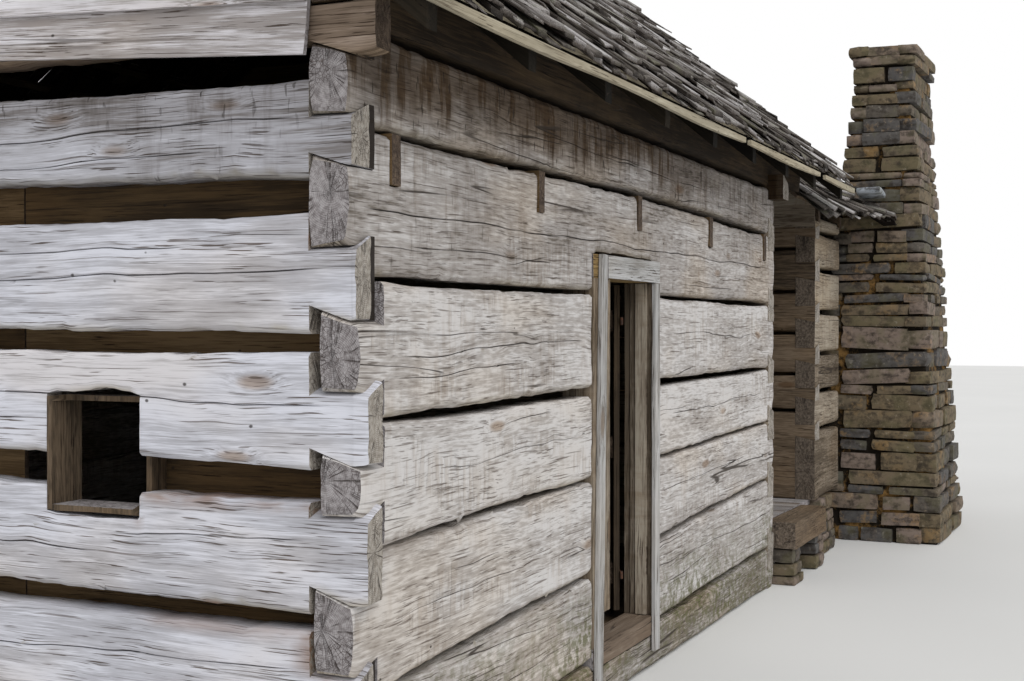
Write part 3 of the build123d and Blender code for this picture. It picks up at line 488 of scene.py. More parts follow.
# %% Slicing
def solids_of(node):
    """The separate solids of a plain node, each as a clean mesh with whole flat faces."""
    source = bmesh.new()
    source.from_mesh(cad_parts[node].data)
    bmesh.ops.remove_doubles(source, verts=source.verts, dist=2e-5)
    left = set(source.verts)
    groups = []
    while left:
        stack = [left.pop()]
        group = set(stack)
        while stack:
            for edge in stack.pop().link_edges:
                for vert in edge.verts:
                    if vert in left:
                        left.discard(vert)
                        group.add(vert)
                        stack.append(vert)
        groups.append(group)
    groups.sort(key=lambda g: tuple(np.round(np.mean([v.co for v in g], axis=0), 4)))
    for group in groups:
        order = {v: i for i, v in enumerate(sorted(group, key=lambda v: v.index))}
        solid = bmesh.new()
        verts = [solid.verts.new(v.co) for v in order]
        for face in source.faces:
            if face.verts[0] in order:
                solid.faces.new([verts[order[v]] for v in face.verts])
        bmesh.ops.recalc_face_normals(solid, faces=solid.faces)
        bmesh.ops.dissolve_limit(solid, angle_limit=0.004, verts=solid.verts, edges=solid.edges)
        yield solid
        solid.free()
    source.free()


def slice_solid(solid, point, normal, picked=None):
    """Cuts all faces, or only the picked ones, along one plane."""
    faces = [f for f in solid.faces if picked is None or picked(f.normal)]
    edges = {e for f in faces for e in f.edges}
    verts = {v for f in faces for v in f.verts}
    parts = faces + list(edges) + list(verts)
    bmesh.ops.bisect_plane(solid, geom=parts, plane_co=point, plane_no=normal, dist=1e-6)


def slice_rows(solid, normal, start, stop, step, picked=None):
    """Cuts along parallel planes, one step apart."""
    normal = Vector(normal)
    for n in range(int((stop - start) / step) + 1):
        slice_solid(solid, normal * (start + (n + 0.5) * step), normal, picked)


def arrays(solid):
    """Points, faces and face normals of a solid."""
    solid.verts.index_update()
    points = np.array([v.co for v in solid.verts])
    faces = [[v.index for v in f.verts] for f in solid.faces]
    return points, faces, np.array([f.normal for f in solid.faces])


print("Solids of the front wall's fifth log:", sum(1 for _ in solids_of("front_log_5")))

# %% [markdown]
# ## Roughening a log
#
# A broad axe leaves shallow flat cuts on a log's face, and the edges follow the tree. The weather
# then opens checks and frays the edges. All of this is carved inwards from the plain log. It fades
# out at the corners, where the dovetails must still look tight.

# %% Log carving
AXES = ((1, 0, 0), (0, 1, 0), (0, 0, 1))
HALF = 0.075
NEAR_LONG = 5.18
DEPTH = 5.05
CHECK_HALF = 0.0035


def log_frame(points, run, out, face_at):
    """Length along the log, depth behind its outer face, and height."""
    depth = (points[:, 1 - run] - face_at) * -out
    return np.column_stack([points[:, run], depth, points[:, 2]])


def span_at(local, step):
    """Lowest and highest point of the log at each place along it."""
    index = np.round((local[:, 0] - local[:, 0].min()) / step).astype(int)
    low = np.full(index.max() + 1, 1e9)
    high = np.full(index.max() + 1, -1e9)
    np.minimum.at(low, index, local[:, 2])
    np.maximum.at(high, index, local[:, 2])
    return low[index], high[index]


def fray_edges(moved, local, low, high, ease, fray, seed):
    """The upper and lower edges wander and splinter."""
    line = local * (1, 0, 0)
    for edge, way, own in ((high, -1, 11), (low, 1, 29)):
        wave = 0.5 + 0.5 * noise(line, 1.1, seed + own)
        wave = 0.6 * wave + 0.25 * np.clip(noise(line, 4.5, seed + own + 1), 0, 1)
        wave += 0.35 * np.clip(noise(line, 15.0, seed + own + 2) - 0.25, 0, 1)
        wave += 0.12 * noise(local, (40, 25, 0), seed + own + 3)
        near = np.clip(1 - np.abs(local[:, 2] - edge) / 0.07, 0, 1)
        moved[:, 2] += way * fray * np.clip(wave, 0, 2) * near * ease


def axe_cuts(local, low, high, ease, scoop, seed):
    """Depth of the broad cuts, the ripple of the grain and the wear along both edges."""
    flat = local * (1, 0, 1)
    cut = scoop * hewn(flat, (0.24, 1, 0.17), seed + 50)
    cut += scoop * 0.5 * (1 + noise(flat, (2.5, 1, 7), seed + 60))
    cut += 0.0012 * (1 + noise(flat, (14, 1, 70), seed + 61))
    worn = np.clip(1 - np.minimum(np.abs(local[:, 2] - low), np.abs(local[:, 2] - high)) / 0.03, 0, 1)
    cut += 0.005 * worn * (0.6 + 0.6 * noise(flat, (6, 1, 6), seed + 62)) * ease
    return cut


def open_checks(moved, local, cut, skin, ease, checks, seed):
    """Deepens the cut along each long check, bends its line, and returns how dark it is."""
    line = local * (1, 0, 0)
    dark = np.zeros(len(local))
    for from_x, to_x, z_a, z_b, deep in checks:
        share = np.clip((local[:, 0] - from_x) / (to_x - from_x), 0, 1)
        rise = z_a + (z_b - z_a) * share
        wander = 0.011 * noise(line, 2.3, seed + 71) + 0.004 * noise(line, 9.0, seed + 72)
        away = local[:, 2] - rise
        inside = (local[:, 0] > from_x) & (local[:, 0] < to_x)
        ends = np.clip(np.minimum(local[:, 0] - from_x, to_x - local[:, 0]) / 0.12, 0, 1) * inside
        groove = np.clip(1 - np.abs(away) / CHECK_HALF, 0, 1) * ends
        groove = groove * (0.75 + 0.25 * noise(line, 5.0, seed + 73))
        cut += deep * groove
        dark = np.maximum(dark, groove * np.clip(skin * 2 - 1, 0, 1))
        moved[:, 2] += wander * np.exp(-((away / 0.04) ** 2)) * ease
    return dark


def wear_ends(moved, local, low, high, corners, blunt, seed):
    """The cut ends are uneven, and outside the corners of the pen their edges are worn round."""
    tip = np.minimum(local[:, 0] - local[:, 0].min(), local[:, 0].max() - local[:, 0])
    wear = 0.003 + 0.003 * noise(local, (1, 28, 28), seed + 90)
    side = np.where(local[:, 0] < np.mean(local[:, 0]), 1, -1)
    moved[:, 0] += side * wear * (tip < 0.001)
    outside = (local[:, 0] < corners[0]) | (local[:, 0] > corners[-1])
    rounding = np.clip(1 - tip / 0.045, 0, 1) ** 2 * outside
    bend = blunt * (0.6 + 0.4 * noise(local, (0, 9, 9), seed + 91))
    middle = (low + high) / 2
    reach = np.clip(np.abs(local[:, 2] - middle) / np.maximum((high - low) / 2, 0.01), 0, 1)
    moved[:, 2] += (middle - local[:, 2]) * 0.24 * rounding * reach ** 3 * bend
    moved[:, 1] += (HALF - local[:, 1]) * 0.30 * rounding * reach ** 2 * bend


def carve(local, step, corners, seed, fray, scoop, checks, blunt):
    """Moves the points inwards and returns them with the darkness of the open checks."""
    low, high = span_at(local, step)
    moved = local.copy()
    ease = np.ones(len(local))
    for corner in corners:
        ease *= np.clip((np.abs(local[:, 0] - corner) - 0.10) / 0.25, 0, 1)
    skin = np.clip(1 - local[:, 1] / 0.04, 0, 1)
    fray_edges(moved, local, low, high, ease, fray, seed)
    cut = axe_cuts(local, low, high, ease, scoop, seed)
    dark = open_checks(moved, local, cut, skin, ease, checks, seed)
    moved[:, 1] += np.clip(cut, 0, 0.03) * skin
    back = np.clip(1 - (local[:, 1].max() - local[:, 1]) / 0.04, 0, 1)
    rear_cut = scoop * hewn(local * (1, 0, 1), (0.3, 1, 0.2), seed + 80)
    moved[:, 1] -= rear_cut * back * (local[:, 1] > 2 * HALF * 0.6)
    wear_ends(moved, local, low, high, corners, blunt, seed)
    return moved, dark


print("Logs are", 2 * HALF, "m thick, in a pen of", NEAR_LONG, "by", DEPTH, "m between corners")

# %% [markdown]
# Past the corner, an end log is hewn down to a thinner tail, which needs two cuts of its own.

# %% Log pieces
END_CUTS = (0.010, 0.022)
TAIL_CUTS = (0.004, 0.010)


def slice_log(solid, low, high, run, out, along, across, checks, blunt, tail):
    """Cuts one log of a wall that runs along X (0) or Y (1) and looks out along the other."""
    axis = Vector(AXES[run])

    def outer(normal):
        return normal[1 - run] * out > 0.3 or abs(normal[run]) > 0.5

    def inner(normal):
        return normal[1 - run] * out < -0.3

    slice_rows(solid, AXES[run], low[run], high[run], along)
    slice_rows(solid, AXES[2], low[2], high[2], across, outer)
    slice_rows(solid, AXES[2], low[2], high[2], across * 4, inner)
    places = []
    if blunt:
        for step in END_CUTS:
            places += [low[run] + step, high[run] - step]
    if tail < 1:
        places += [-HALF - step for step in TAIL_CUTS]
    for at in places:
        slice_solid(solid, axis * at, axis)
    for from_x, to_x, z_a, z_b, _ in checks:
        length = math.hypot(to_x - from_x, z_b - z_a)
        tilt = Vector((0, 0, (to_x - from_x) / length))
        tilt[run] = -(z_b - z_a) / length
        for step in (-CHECK_HALF, 0, CHECK_HALF):
            point = Vector((0, 0, z_a + step))
            point[run] = from_x
            slice_solid(solid, point, tilt, outer)


def from_heart(local, chance):
    """Place of each point measured from the heart of the tree, which wanders from end to end."""
    tip_a = local[local[:, 0] < local[:, 0].min() + 0.01]
    tip_b = local[local[:, 0] > local[:, 0].max() - 0.01]
    share = (local[:, 0] - local[:, 0].min()) / np.ptp(local[:, 0])
    middle_a = (tip_a[:, 2].min() + tip_a[:, 2].max()) / 2
    middle_b = (tip_b[:, 2].min() + tip_b[:, 2].max()) / 2
    lift = middle_a * (1 - share) + middle_b * share
    aside = local[:, 1] - HALF + (chance[0] - 0.5) * 0.05
    return np.column_stack([local[:, 0] * 0, aside, local[:, 2] - lift + (chance[1] - 0.5) * 0.06])


def timbers(name, node, run, out, face_at, corners, materials, along=0.06, across=0.03, fray=0.012,
            scoop=0.004, checks=(), tone=None, moss=None, rot=None, dirt=None, seed=1, tail=1.0, blunt=0.0):
    """One dressed piece for the logs of a node. Past the corner a log may be hewn thinner: tail is the
    share of its thickness that is left there. Blunt says how far its ends are worn round."""
    heap = Heap()
    low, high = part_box(node)
    for part, solid in enumerate(solids_of(node)):
        own = seed + 7 * part
        slice_log(solid, low, high, run, out, along, across, checks, blunt, tail)
        points, faces, normals = arrays(solid)
        local = log_frame(points, run, out, face_at)
        moved, dark = carve(local, along, corners, own, fray, scoop, checks, blunt)
        past = np.clip((-HALF - TAIL_CUTS[0] - local[:, 0]) / 0.006, 0, 1)
        moved[:, 1] *= 1 - past * (1 - tail)
        if tail < 1:
            step_face = (local[:, 0] > -HALF - 0.012) & (local[:, 0] < -HALF - 0.002) & (local[:, 1] > HALF)
            dark = np.maximum(dark, 0.8 * step_face)
        placed = points.copy()
        placed[:, run] = moved[:, 0]
        placed[:, 1 - run] = face_at - out * moved[:, 1]
        placed[:, 2] = moved[:, 2]
        chance = random_at(np.array([[own, 3, 5], [own, 7, 1], [own, 2, 9]]), 4)
        shift = np.array([own * 3.7 % 50, own * 1.3 % 20, own * 2.1 % 30])
        lowest = span_at(local, along)[0]
        none = np.zeros(len(points))
        own_tone = chance[2] * 2 - 1 if tone is None else tone
        heap.add(placed, faces, np.abs(normals[:, run]) > 0.7,
                 grain=local + shift, heart=from_heart(local, chance), check=dark, tone=none + own_tone,
                 under=np.clip(1 - (local[:, 2] - lowest) / 0.028, 0, 1),
                 moss=moss(local, node) if moss else none, dirt=dirt(local, node) if dirt else none,
                 rot=rot(local, node) if rot else none)
    return heap.make(name, materials, replaces=[node], smooth=48)


print("A log's ends are cut at", END_CUTS, "m and its tail at", TAIL_CUTS, "m past the corner")

# %% [markdown]
# ## The front wall
#
# Seven courses and a plate, hewn flat and now warm grey. The long check runs the whole length of
# the fifth course. Moss grows on the two lowest courses, where rain splashes back.

# %% Front wall
def corner_rot(local):
    """Rot in the log just under the notch that the next log sits in."""
    at_corner = np.abs(local[:, 0]) < HALF
    top = local[at_corner, 2].max()
    beside = np.clip(1 - np.abs(local[:, 0] - 0.03) / 0.13, 0, 1)
    return np.clip(1.6 * beside, 0, 1) * np.clip(1.3 - (top - local[:, 2]) / 0.05, 0, 1)


def eave_dirt(local, node):
    """Painted shade under the eave, with brown stain that runs down from the plate over the log below it."""
    if node == "front_plate":
        return np.clip(0.25 + 0.25 * noise(local, (2.0, 1, 6.0), 313), 0, 1)
    if node == "front_log_5":
        return np.clip(0.20 + 0.25 * noise(local, (1.3, 1, 3.0), 312), 0, 1)
    if node != "front_log_6":
        return np.zeros(len(local))
    run = 2.45 + 0.07 * noise(local, (3.0, 1, 0), 310) + 0.04 * noise(local, (17.0, 1, 0), 311)
    fade = np.clip(1.6 - np.abs(local[:, 0] - 1.4) / 2.2, 0.35, 1)
    return 0.34 + 0.66 * np.clip((local[:, 2] - run) / 0.14 + 0.5, 0, 1) * fade


def low_moss(local, node):
    """Moss on the lowest courses, thinner higher up."""
    height = {"front_sill": 0.9, "front_log_1": 0.95, "front_log_2": 0.25}.get(node, 0.0)
    fall = np.clip((0.62 - local[:, 2]) / 0.25, 0, 1)
    patch = 0.6 + 0.4 * noise(local, (1.5, 1, 5), 300)
    return height * fall * patch


front_checks = {
    "front_log_6": [(0.9, 3.9, 2.50, 2.45, 0.007)],
    "front_log_5": [(0.02, 5.1, 2.075, 2.085, 0.012), (0.3, 1.6, 1.97, 1.965, 0.006)],
    "front_log_4": [(0.15, 1.95, 1.60, 1.635, 0.009), (0.1, 1.2, 1.53, 1.55, 0.006),
                    (3.1, 4.8, 1.66, 1.64, 0.006)],
    "front_log_3": [(0.5, 1.9, 1.20, 1.23, 0.006), (3.1, 4.9, 1.25, 1.27, 0.007)],
    "front_log_2": [(0.2, 1.3, 0.74, 0.76, 0.006), (3.0, 4.6, 0.86, 0.90, 0.007)],
    "front_log_1": [(0.4, 1.8, 0.33, 0.34, 0.006), (3.0, 5.0, 0.47, 0.50, 0.010)],
}
front_tones = {"front_sill": -0.9, "front_log_1": 0.2, "front_log_2": 0.5, "front_log_3": 1.0,
               "front_log_4": 0.5, "front_log_5": 0.0, "front_log_6": -0.2, "front_plate": -0.9}
front_nodes = ["front_sill"] + [f"front_log_{k}" for k in range(1, 7)] + ["front_plate"]
for number, node in enumerate(front_nodes):
    # The plate is painted nearly black, as painted shade under the eave.
    finishes = [deep_shade_wood, brown_end] if node == "front_plate" else [front_wood, log_end]
    timbers(f"dressed_{node}", node, 0, -1, -HALF, (0.0, NEAR_LONG), finishes, along=0.035, across=0.016,
            fray=0.02, scoop=0.005, checks=front_checks.get(node, ()), tone=front_tones[node], moss=low_moss,
            dirt=eave_dirt, seed=1000 + 37 * number, blunt=1.0)

# %% [markdown]
# ## The near end wall
#
# The end wall's logs lie half a log higher or lower than those of the front wall, so that their
# tails can pass between them. No eave shades them, and they are bleached to a cool silver. Their
# checks are longer and straighter.

# %% End wall
end_checks = {
    "end_log_7": [(-0.1, 2.5, 2.58, 2.60, 0.008)],
    "end_log_6": [(0.1, 2.6, 2.36, 2.33, 0.010), (0.4, 1.9, 2.26, 2.25, 0.006)],
    "end_log_5": [(0.0, 2.9, 1.882, 1.845, 0.011), (0.5, 1.7, 1.96, 1.955, 0.006)],
    "end_log_4": [(-0.02, 2.2, 1.452, 1.478, 0.010), (1.2, 3.0, 1.38, 1.37, 0.008)],
    "end_log_3": [(0.05, 0.9, 1.03, 1.02, 0.007), (0.9, 2.9, 0.95, 0.93, 0.009)],
    "end_log_2": [(0.1, 1.6, 0.62, 0.60, 0.009)],
    "end_log_1": [(0.1, 1.6, 0.30, 0.31, 0.007)],
}
end_tones = {"end_log_7": 0.0, "end_log_6": -0.4, "end_log_5": 0.4, "end_log_4": 1.1, "end_log_3": 0.5,
             "end_log_2": 0.3, "end_log_1": -0.3}


def shade_and_brown_stain(local, node):
    """The log under the top one is darkened brown, partly painted shade and partly brown grime, most of all
    near its upper edge.
    """
    if node != "end_log_6":
        return np.zeros(len(local))
    patch = noise(local, (1.7, 1, 6.0), 320)
    return np.clip(0.16 + 0.22 * patch + 0.30 * np.clip((local[:, 2] - 2.30) / 0.15, 0, 1), 0, 1)


def bare_wood(local, node):
    """Rot in the notch, and the red-brown wood that shows along the upper edge of two logs."""
    rotten = corner_rot(local)
    if node == "end_log_5":
        return rotten
    top = span_at(local, 0.035)[1]
    near_top = np.clip(1.25 - (top - local[:, 2]) / 0.045, 0, 1)
    reach = np.clip((0.85 - local[:, 0]) / 0.15, 0, 1) * (local[:, 0] > 0.0)
    return np.maximum(rotten, near_top * reach * (1.0 if node == "end_log_3" else 0.6))


for number in range(1, 8):
    node = f"end_log_{number}"
    finishes = [brown_log, brown_end] if number == 7 else [end_wall_wood, tail_end]
    timbers(f"dressed_{node}", node, 1, -1, -HALF, (0.0, DEPTH), finishes, along=0.035, across=0.016,
            fray=0.022, scoop=0.004, checks=end_checks[node], tone=end_tones[node], dirt=shade_and_brown_stain,
            rot=bare_wood if number in (2, 3, 5) else None, seed=2000 + 41 * number, tail=0.64, blunt=0.35)

# %% [markdown]
# ## The other walls
#
# The walls that the picture doesn't show are dressed the same way, with wider rows: they are seen
# from farther off.

# %% Other log walls
FAR_A = 6.56
FAR_B = 9.86


def roof_shade(local, _):
    """The logs that stand high in the dark of the passage roof."""
    return np.clip((local[:, 2] - 2.42) / 0.05, 0, 1)


timbers("dressed_rear_logs", "rear_logs", 0, 1, DEPTH + HALF, (0.0, NEAR_LONG), [front_wood, log_end], 0.08,
        0.05, fray=0.003, seed=3000)
timbers("dressed_passage_logs", "passage_logs", 1, 1, NEAR_LONG + HALF, (0.0, DEPTH), [far_wood, tail_end],
        0.08, 0.05, fray=0.003, dirt=roof_shade, seed=3300)
timbers("dressed_far_front", "far_front_logs", 0, -1, -HALF, (FAR_A, FAR_B), [far_wood, shade_end], 0.05,
        0.025, fray=0.014, seed=3600)
timbers("dressed_far_rear", "far_rear_logs", 0, 1, DEPTH + HALF, (FAR_A, FAR_B), [far_wood, log_end], 0.08,
        0.05, fray=0.003, seed=3900)
timbers("dressed_far_passage", "far_passage_logs", 1, -1, FAR_A - HALF, (0.0, DEPTH), [shade_wood, tail_end],
        0.06, 0.04, fray=0.014, seed=4200)
timbers("dressed_far_end", "far_end_logs", 1, 1, FAR_B + HALF, (0.0, DEPTH), [far_wood, log_end], 0.08,
        0.05, fray=0.003, seed=4500)

# %% [markdown]
# ## Boards
#
# Boards and planks are straight sticks, some of them turned, such as those of the open door. Each
# one is measured along its own three directions, cut into short lengths and worn a little on
# every side. Its grain runs along its longest side.

# %% Board wearing
def own_axes(points):
    """Centre and three directions of a stick, the longest first."""
    centre = (points.min(axis=0) + points.max(axis=0)) / 2
    spread = points - points.mean(axis=0)
    axes = np.linalg.svd(spread, full_matrices=False)[2]
    sizes = [np.ptp(points @ axis) for axis in axes]
    order = np.argsort(sizes)[::-1]
    return centre, axes[order]


def plain_board(low, high):
    """A straight board between two corners."""
    solid = bmesh.new()
    bmesh.ops.create_cube(solid, size=1.0)
    for vert in solid.verts:
        vert.co = Vector([low[k] + (vert.co[k] + 0.5) * (high[k] - low[k]) for k in range(3)])
    return solid


def sticks(nodes, extra):
    """The solids of some nodes, then a plain board for each extra pair of corners."""
    for node in nodes:
        yield from solids_of(node)
    for corners in extra:
        yield plain_board(*corners)


def slice_board(solid, centre, axes, reach, along, rows, cuts):
    """Cuts a stick into short lengths and a few rows, and along any planes of its own."""
    steps = max(1, round(2 * reach[0] / along))
    for n in range(1, steps):
        at = centre + axes[0] * (2 * n / steps - 1) * reach[0]
        slice_solid(solid, Vector(at), Vector(axes[0]))
    for n in range(1, rows + 1):
        at = centre + axes[1] * (2 * n / (rows + 1) - 1) * reach[1]
        slice_solid(solid, Vector(at), Vector(axes[1]))
    for point, normal in cuts:
        slice_solid(solid, Vector(point), Vector(normal))


def wear_board(local, reach, wear, own):
    """Moves the points of a stick inwards, along its sides and at its ends."""
    moved = local.copy()
    for side in (1, 2):
        share = local[:, side] / max(reach[side], 1e-6)
        rough = 0.5 + 0.5 * noise(local + own, (3.0, 30, 30), own + side)
        rough = rough * 0.6 + 0.4 * np.abs(noise(local + own, (11.0, 40, 40), own + side + 2))
        moved[:, side] -= share * wear * (1 + (side == 1)) * rough
    at_end = np.sign(local[:, 0]) * (np.abs(local[:, 0]) > reach[0] - 1e-4)
    moved[:, 0] -= at_end * wear * (1 + noise(local + own, (1, 25, 25), own + 5))
    return moved


def boards(name, nodes, materials, along=0.12, wear=0.0025, body="cabin", seed=1, rows=1,
           extra=(), cuts=(), shape=None, paint=None):
    """Dressed boards for some nodes. Extra ones are given by two corners, cuts are more planes to slice
    at, shape moves the worn points and paint makes them paler or darker."""
    heap = Heap()
    for number, solid in enumerate(sticks(nodes, extra)):
        own = seed + number * 13
        points = np.array([v.co for v in solid.verts])
        centre, axes = own_axes(points)
        reach = [np.abs((points - centre) @ axis).max() for axis in axes]
        slice_board(solid, centre, axes, reach, along, rows, cuts)
        points, faces, normals = arrays(solid)
        local = (points - centre) @ axes.T
        placed = centre + wear_board(local, reach, wear, own) @ axes
        chance = random_at(np.array([[own, 1, 2]]), 8)[0]
        tone = np.full(len(points), chance * 2 - 1)
        if paint:
            tone = tone * 0.3 + paint(points)
        if shape:
            placed = shape(placed, points)
        heap.add(placed, faces, np.abs(normals @ axes[0]) > 0.7,
                 grain=local + own * 0.71, heart=local, tone=tone)
    return heap.make(name, materials, body=body, replaces=nodes, smooth=35)


print("A board between two corners has", len(plain_board((0, 0, 0), (1, 1, 1)).faces), "faces")

# %% [markdown]
# Some boards aren't where they once were. The lowest ones of the gable sag towards the corner, the
# far side of the doorway is three boards of different depths, and two boards of the window's
# lining stand back behind the logs.

# %% Board shapes
BOARD_GAPS = [-0.0485, -0.0475, 0.012, 0.013, 0.018, 0.0185, 0.043, 0.0435, 0.048, 0.0485]
BOARD_DEPTHS = [0.022, 0.0, 0.0, 0.030, 0.030, 0.010, 0.010, 0.026, 0.026, 0.014]
DOOR_MIDDLE = 2.6


def sagging(placed, points):
    """The lowest boards of the gable run down towards the front corner."""
    drop = np.interp(points[:, 1], [0.0, 0.06, 1.36, 3.0], [-0.034, -0.034, 0.050, 0.0])
    placed[:, 2] += drop * np.interp(points[:, 2], [2.57, 3.3], [1.0, 0.0])
    return placed


def reveal(placed, points):
    """The far side of the doorway is three boards of different depths, with gaps between them."""
    if points[:, 0].mean() > DOOR_MIDDLE:
        face = points[:, 0] < points[:, 0].min() + 0.003
        placed[:, 0] += np.interp(points[:, 1], BOARD_GAPS, BOARD_DEPTHS) * face
    return placed


def reveal_tones(points):
    """The board just behind the jamb is pale, and the ones on both sides of it are dark."""
    if points[:, 0].mean() <= DOOR_MIDDLE:
        return np.zeros(len(points))
    marks = [-0.0485, -0.0475, 0.012, 0.018, 0.043, 0.048]
    return np.interp(points[:, 1], marks, [-1.4, 0.9, 0.9, -0.8, -0.8, -1.6])


def set_back(placed, points):
    """The head and right-hand boards of the window stand a hand behind the logs."""
    right = (points[:, 1] < 0.777) & (points[:, 2] > 1.104)
    head = (points[:, 2] > 1.432) & (points[:, 1] < 1.106)
    placed[:, 0] += 0.07 * ((points[:, 0] < 0) & (right | head))
    return placed


reveal_cuts = [((0, y, 0), AXES[1]) for y in BOARD_GAPS]
window_cuts = [((0, 0, 1.112), AXES[2]), ((0, 1.098, 0), AXES[1])]
window_backing = ((0.0753, 0.08, 1.10), (0.0973, 0.751, 1.31))
print("The doorway's far side is cut at", len(reveal_cuts), "planes")

# %% [markdown]
# Now every board of the cabin is dressed. The ones in the weather are silver or brown, and the
# ones inside are painted dark, as painted shade under the roof.

# %% All boards
boards("dressed_near_siding", ["near_siding"], [siding_board, log_end], along=0.09, wear=0.003, rows=4,
       seed=5000, shape=sagging)
boards("dressed_passage_siding", ["passage_siding"], [brown_wood, brown_end], seed=5200)
boards("dressed_far_siding", ["far_siding"], [far_wood, shade_end], seed=5400)
boards("dressed_backing", ["backing_boards"], [brown_wood, brown_end], seed=5600,
       extra=[window_backing])
boards("dressed_joists", ["loft_joists"], [brown_wood, brown_end], seed=5700)
boards("dressed_threshold", ["threshold"], [trodden, log_end], along=0.05, rows=4,
       seed=5750)
boards("dressed_head", ["door_head"], [pale_board, log_end], along=0.04, rows=4, wear=0.003,
       seed=5800)
boards("dressed_frame", ["door_frame"], [pale_board, log_end], along=0.05, rows=2,
       seed=5850)
boards("dressed_bucks", ["door_bucks"], [far_wood, log_end], along=0.05, rows=2,
       seed=5870, cuts=reveal_cuts, shape=reveal, paint=reveal_tones)
boards("dressed_lintel", ["door_lintel"], [warm_board, log_end], along=0.05, rows=2,
       seed=5890)
boards("dressed_lining", ["window_lining"], [shade_wood, log_end], along=0.05, seed=5900,
       shape=set_back, cuts=window_cuts)
boards("dressed_eave_strips", ["eave_strips"], [lath_wood, log_end], along=0.1, seed=5920)
boards("dressed_far_lining", ["far_door_lining"], [brown_wood, brown_end], seed=5950)
boards("dressed_leaf", ["door_leaf"], [door_wood, brown_end], along=0.08, body="door",
       rows=2, seed=6000)
boards("dressed_ledges", ["door_ledges"], [door_wood, brown_end], along=0.08, body="door",
       seed=6050)
inside = [inside_wood, brown_end]
# The near rafters are painted nearly black as painted shade under the eave, and the other inside boards are
# darkened as painted shade too.
inside_boards = (("near_floor", "near_floor", inside, 0.25), ("sleepers", "near_sleepers", inside, 0.3),
                 ("near_rafters", "near_rafters", [shade_black, shade_black], 0.2),
                 ("near_lath", "near_lath", inside, 0.25), ("far_rafters", "far_rafters", inside, 0.2),
                 ("far_lath", "far_lath", inside, 0.25), ("far_floor", "far_floor", inside, 0.25),
                 ("far_joists", "far_joists", inside, 0.3))
for number, (name, node, finishes, along) in enumerate(inside_boards):
    boards(f"dressed_{name}", [node], finishes, along, seed=6100 + 100 * number)
boards("dressed_passage_floor", ["passage_floor"], [grey_board, log_end], 0.12, rows=3,
       seed=6900)
boards("dressed_passage_beams", ["passage_beams"], [shade_wood, shade_end], 0.06, wear=0.008,
       rows=3, seed=7000)

# %% [markdown]
# The far room has boards nailed inside over its open joints, as the near one has. They are placed
# by the gaps between the logs themselves, so no light shows through the wall.

# %% Boards over the far joints
BACKING_THICK = 0.02
BACKING_TALL = 0.14
SLIT = 0.0005


def joint_boards(node, run, inside, start, stop):
    """Corners of one board for each gap between the logs of a wall, between two places along it."""
    spans = []
    for solid in solids_of(node):
        points = np.array([v.co for v in solid.verts])
        if points[:, run].min() < start + 0.3 and points[:, run].max() > start + 0.5:
            mid = points[np.abs(points[:, 1 - run] - points[:, 1 - run].mean()) < 0.1]
            spans.append((mid[:, 2].min(), mid[:, 2].max()))
    spans.sort()
    for (_, top), (bottom, _) in zip(spans, spans[1:]):
        level = (top + bottom) / 2
        low = [inside, inside, level - BACKING_TALL / 2]
        high = [inside + BACKING_THICK, inside + BACKING_THICK, level + BACKING_TALL / 2]
        low[run], high[run] = start, stop
        yield tuple(low), tuple(high)


inner_faces = (FAR_A + HALF + SLIT, FAR_B - HALF - BACKING_THICK - SLIT)
far_joints = list(joint_boards("far_passage_logs", 1, inner_faces[0], 0.09, 2.05))
far_joints += list(joint_boards("far_end_logs", 1, inner_faces[1], 0.09, 4.95))
boards("far_joint_boards", [], [deep_shade_wood, deep_shade_wood], 0.3, seed=7100,
       extra=far_joints)

# %% [markdown]
# ## Split shakes
#
# The roofs are covered with shakes: short boards split by hand from a block, laid in overlapping
# rows. No two have the same width, thickness or curl, and their lower ends make a ragged line.
# Each shake is a small curved board of its own. Its head lies on the lath and its lower end on
# the rows beneath.

# %% Shake shape
SHAKE_LONG = 0.62
SHAKE_SHOW = 0.19
PITCH_COSINE = math.cos(math.radians(40))
ROOF_RUN = 3.2
RIDGE = DEPTH / 2
ALONG = 5
ACROSS = 3


def shake_faces():
    """Faces of a closed board made of an upper and a lower grid of points."""
    faces = []
    layer = ALONG * ACROSS
    for i in range(ALONG - 1):
        for j in range(ACROSS - 1):
            a = i * ACROSS + j
            top = [a, a + 1, a + 1 + ACROSS, a + ACROSS]
            faces.append(top)
            faces.append([v + layer for v in reversed(top)])
    rim = [i * ACROSS for i in range(ALONG)] + [(ALONG - 1) * ACROSS + j for j in range(1, ACROSS)]
    rim += [i * ACROSS + ACROSS - 1 for i in range(ALONG - 2, -1, -1)] + list(range(ACROSS - 2, 0, -1))
    for a, b in zip(rim, rim[1:] + rim[:1]):
        faces.append([b, a, a + layer, b + layer])
    return faces


SHAKE_FACES = shake_faces()


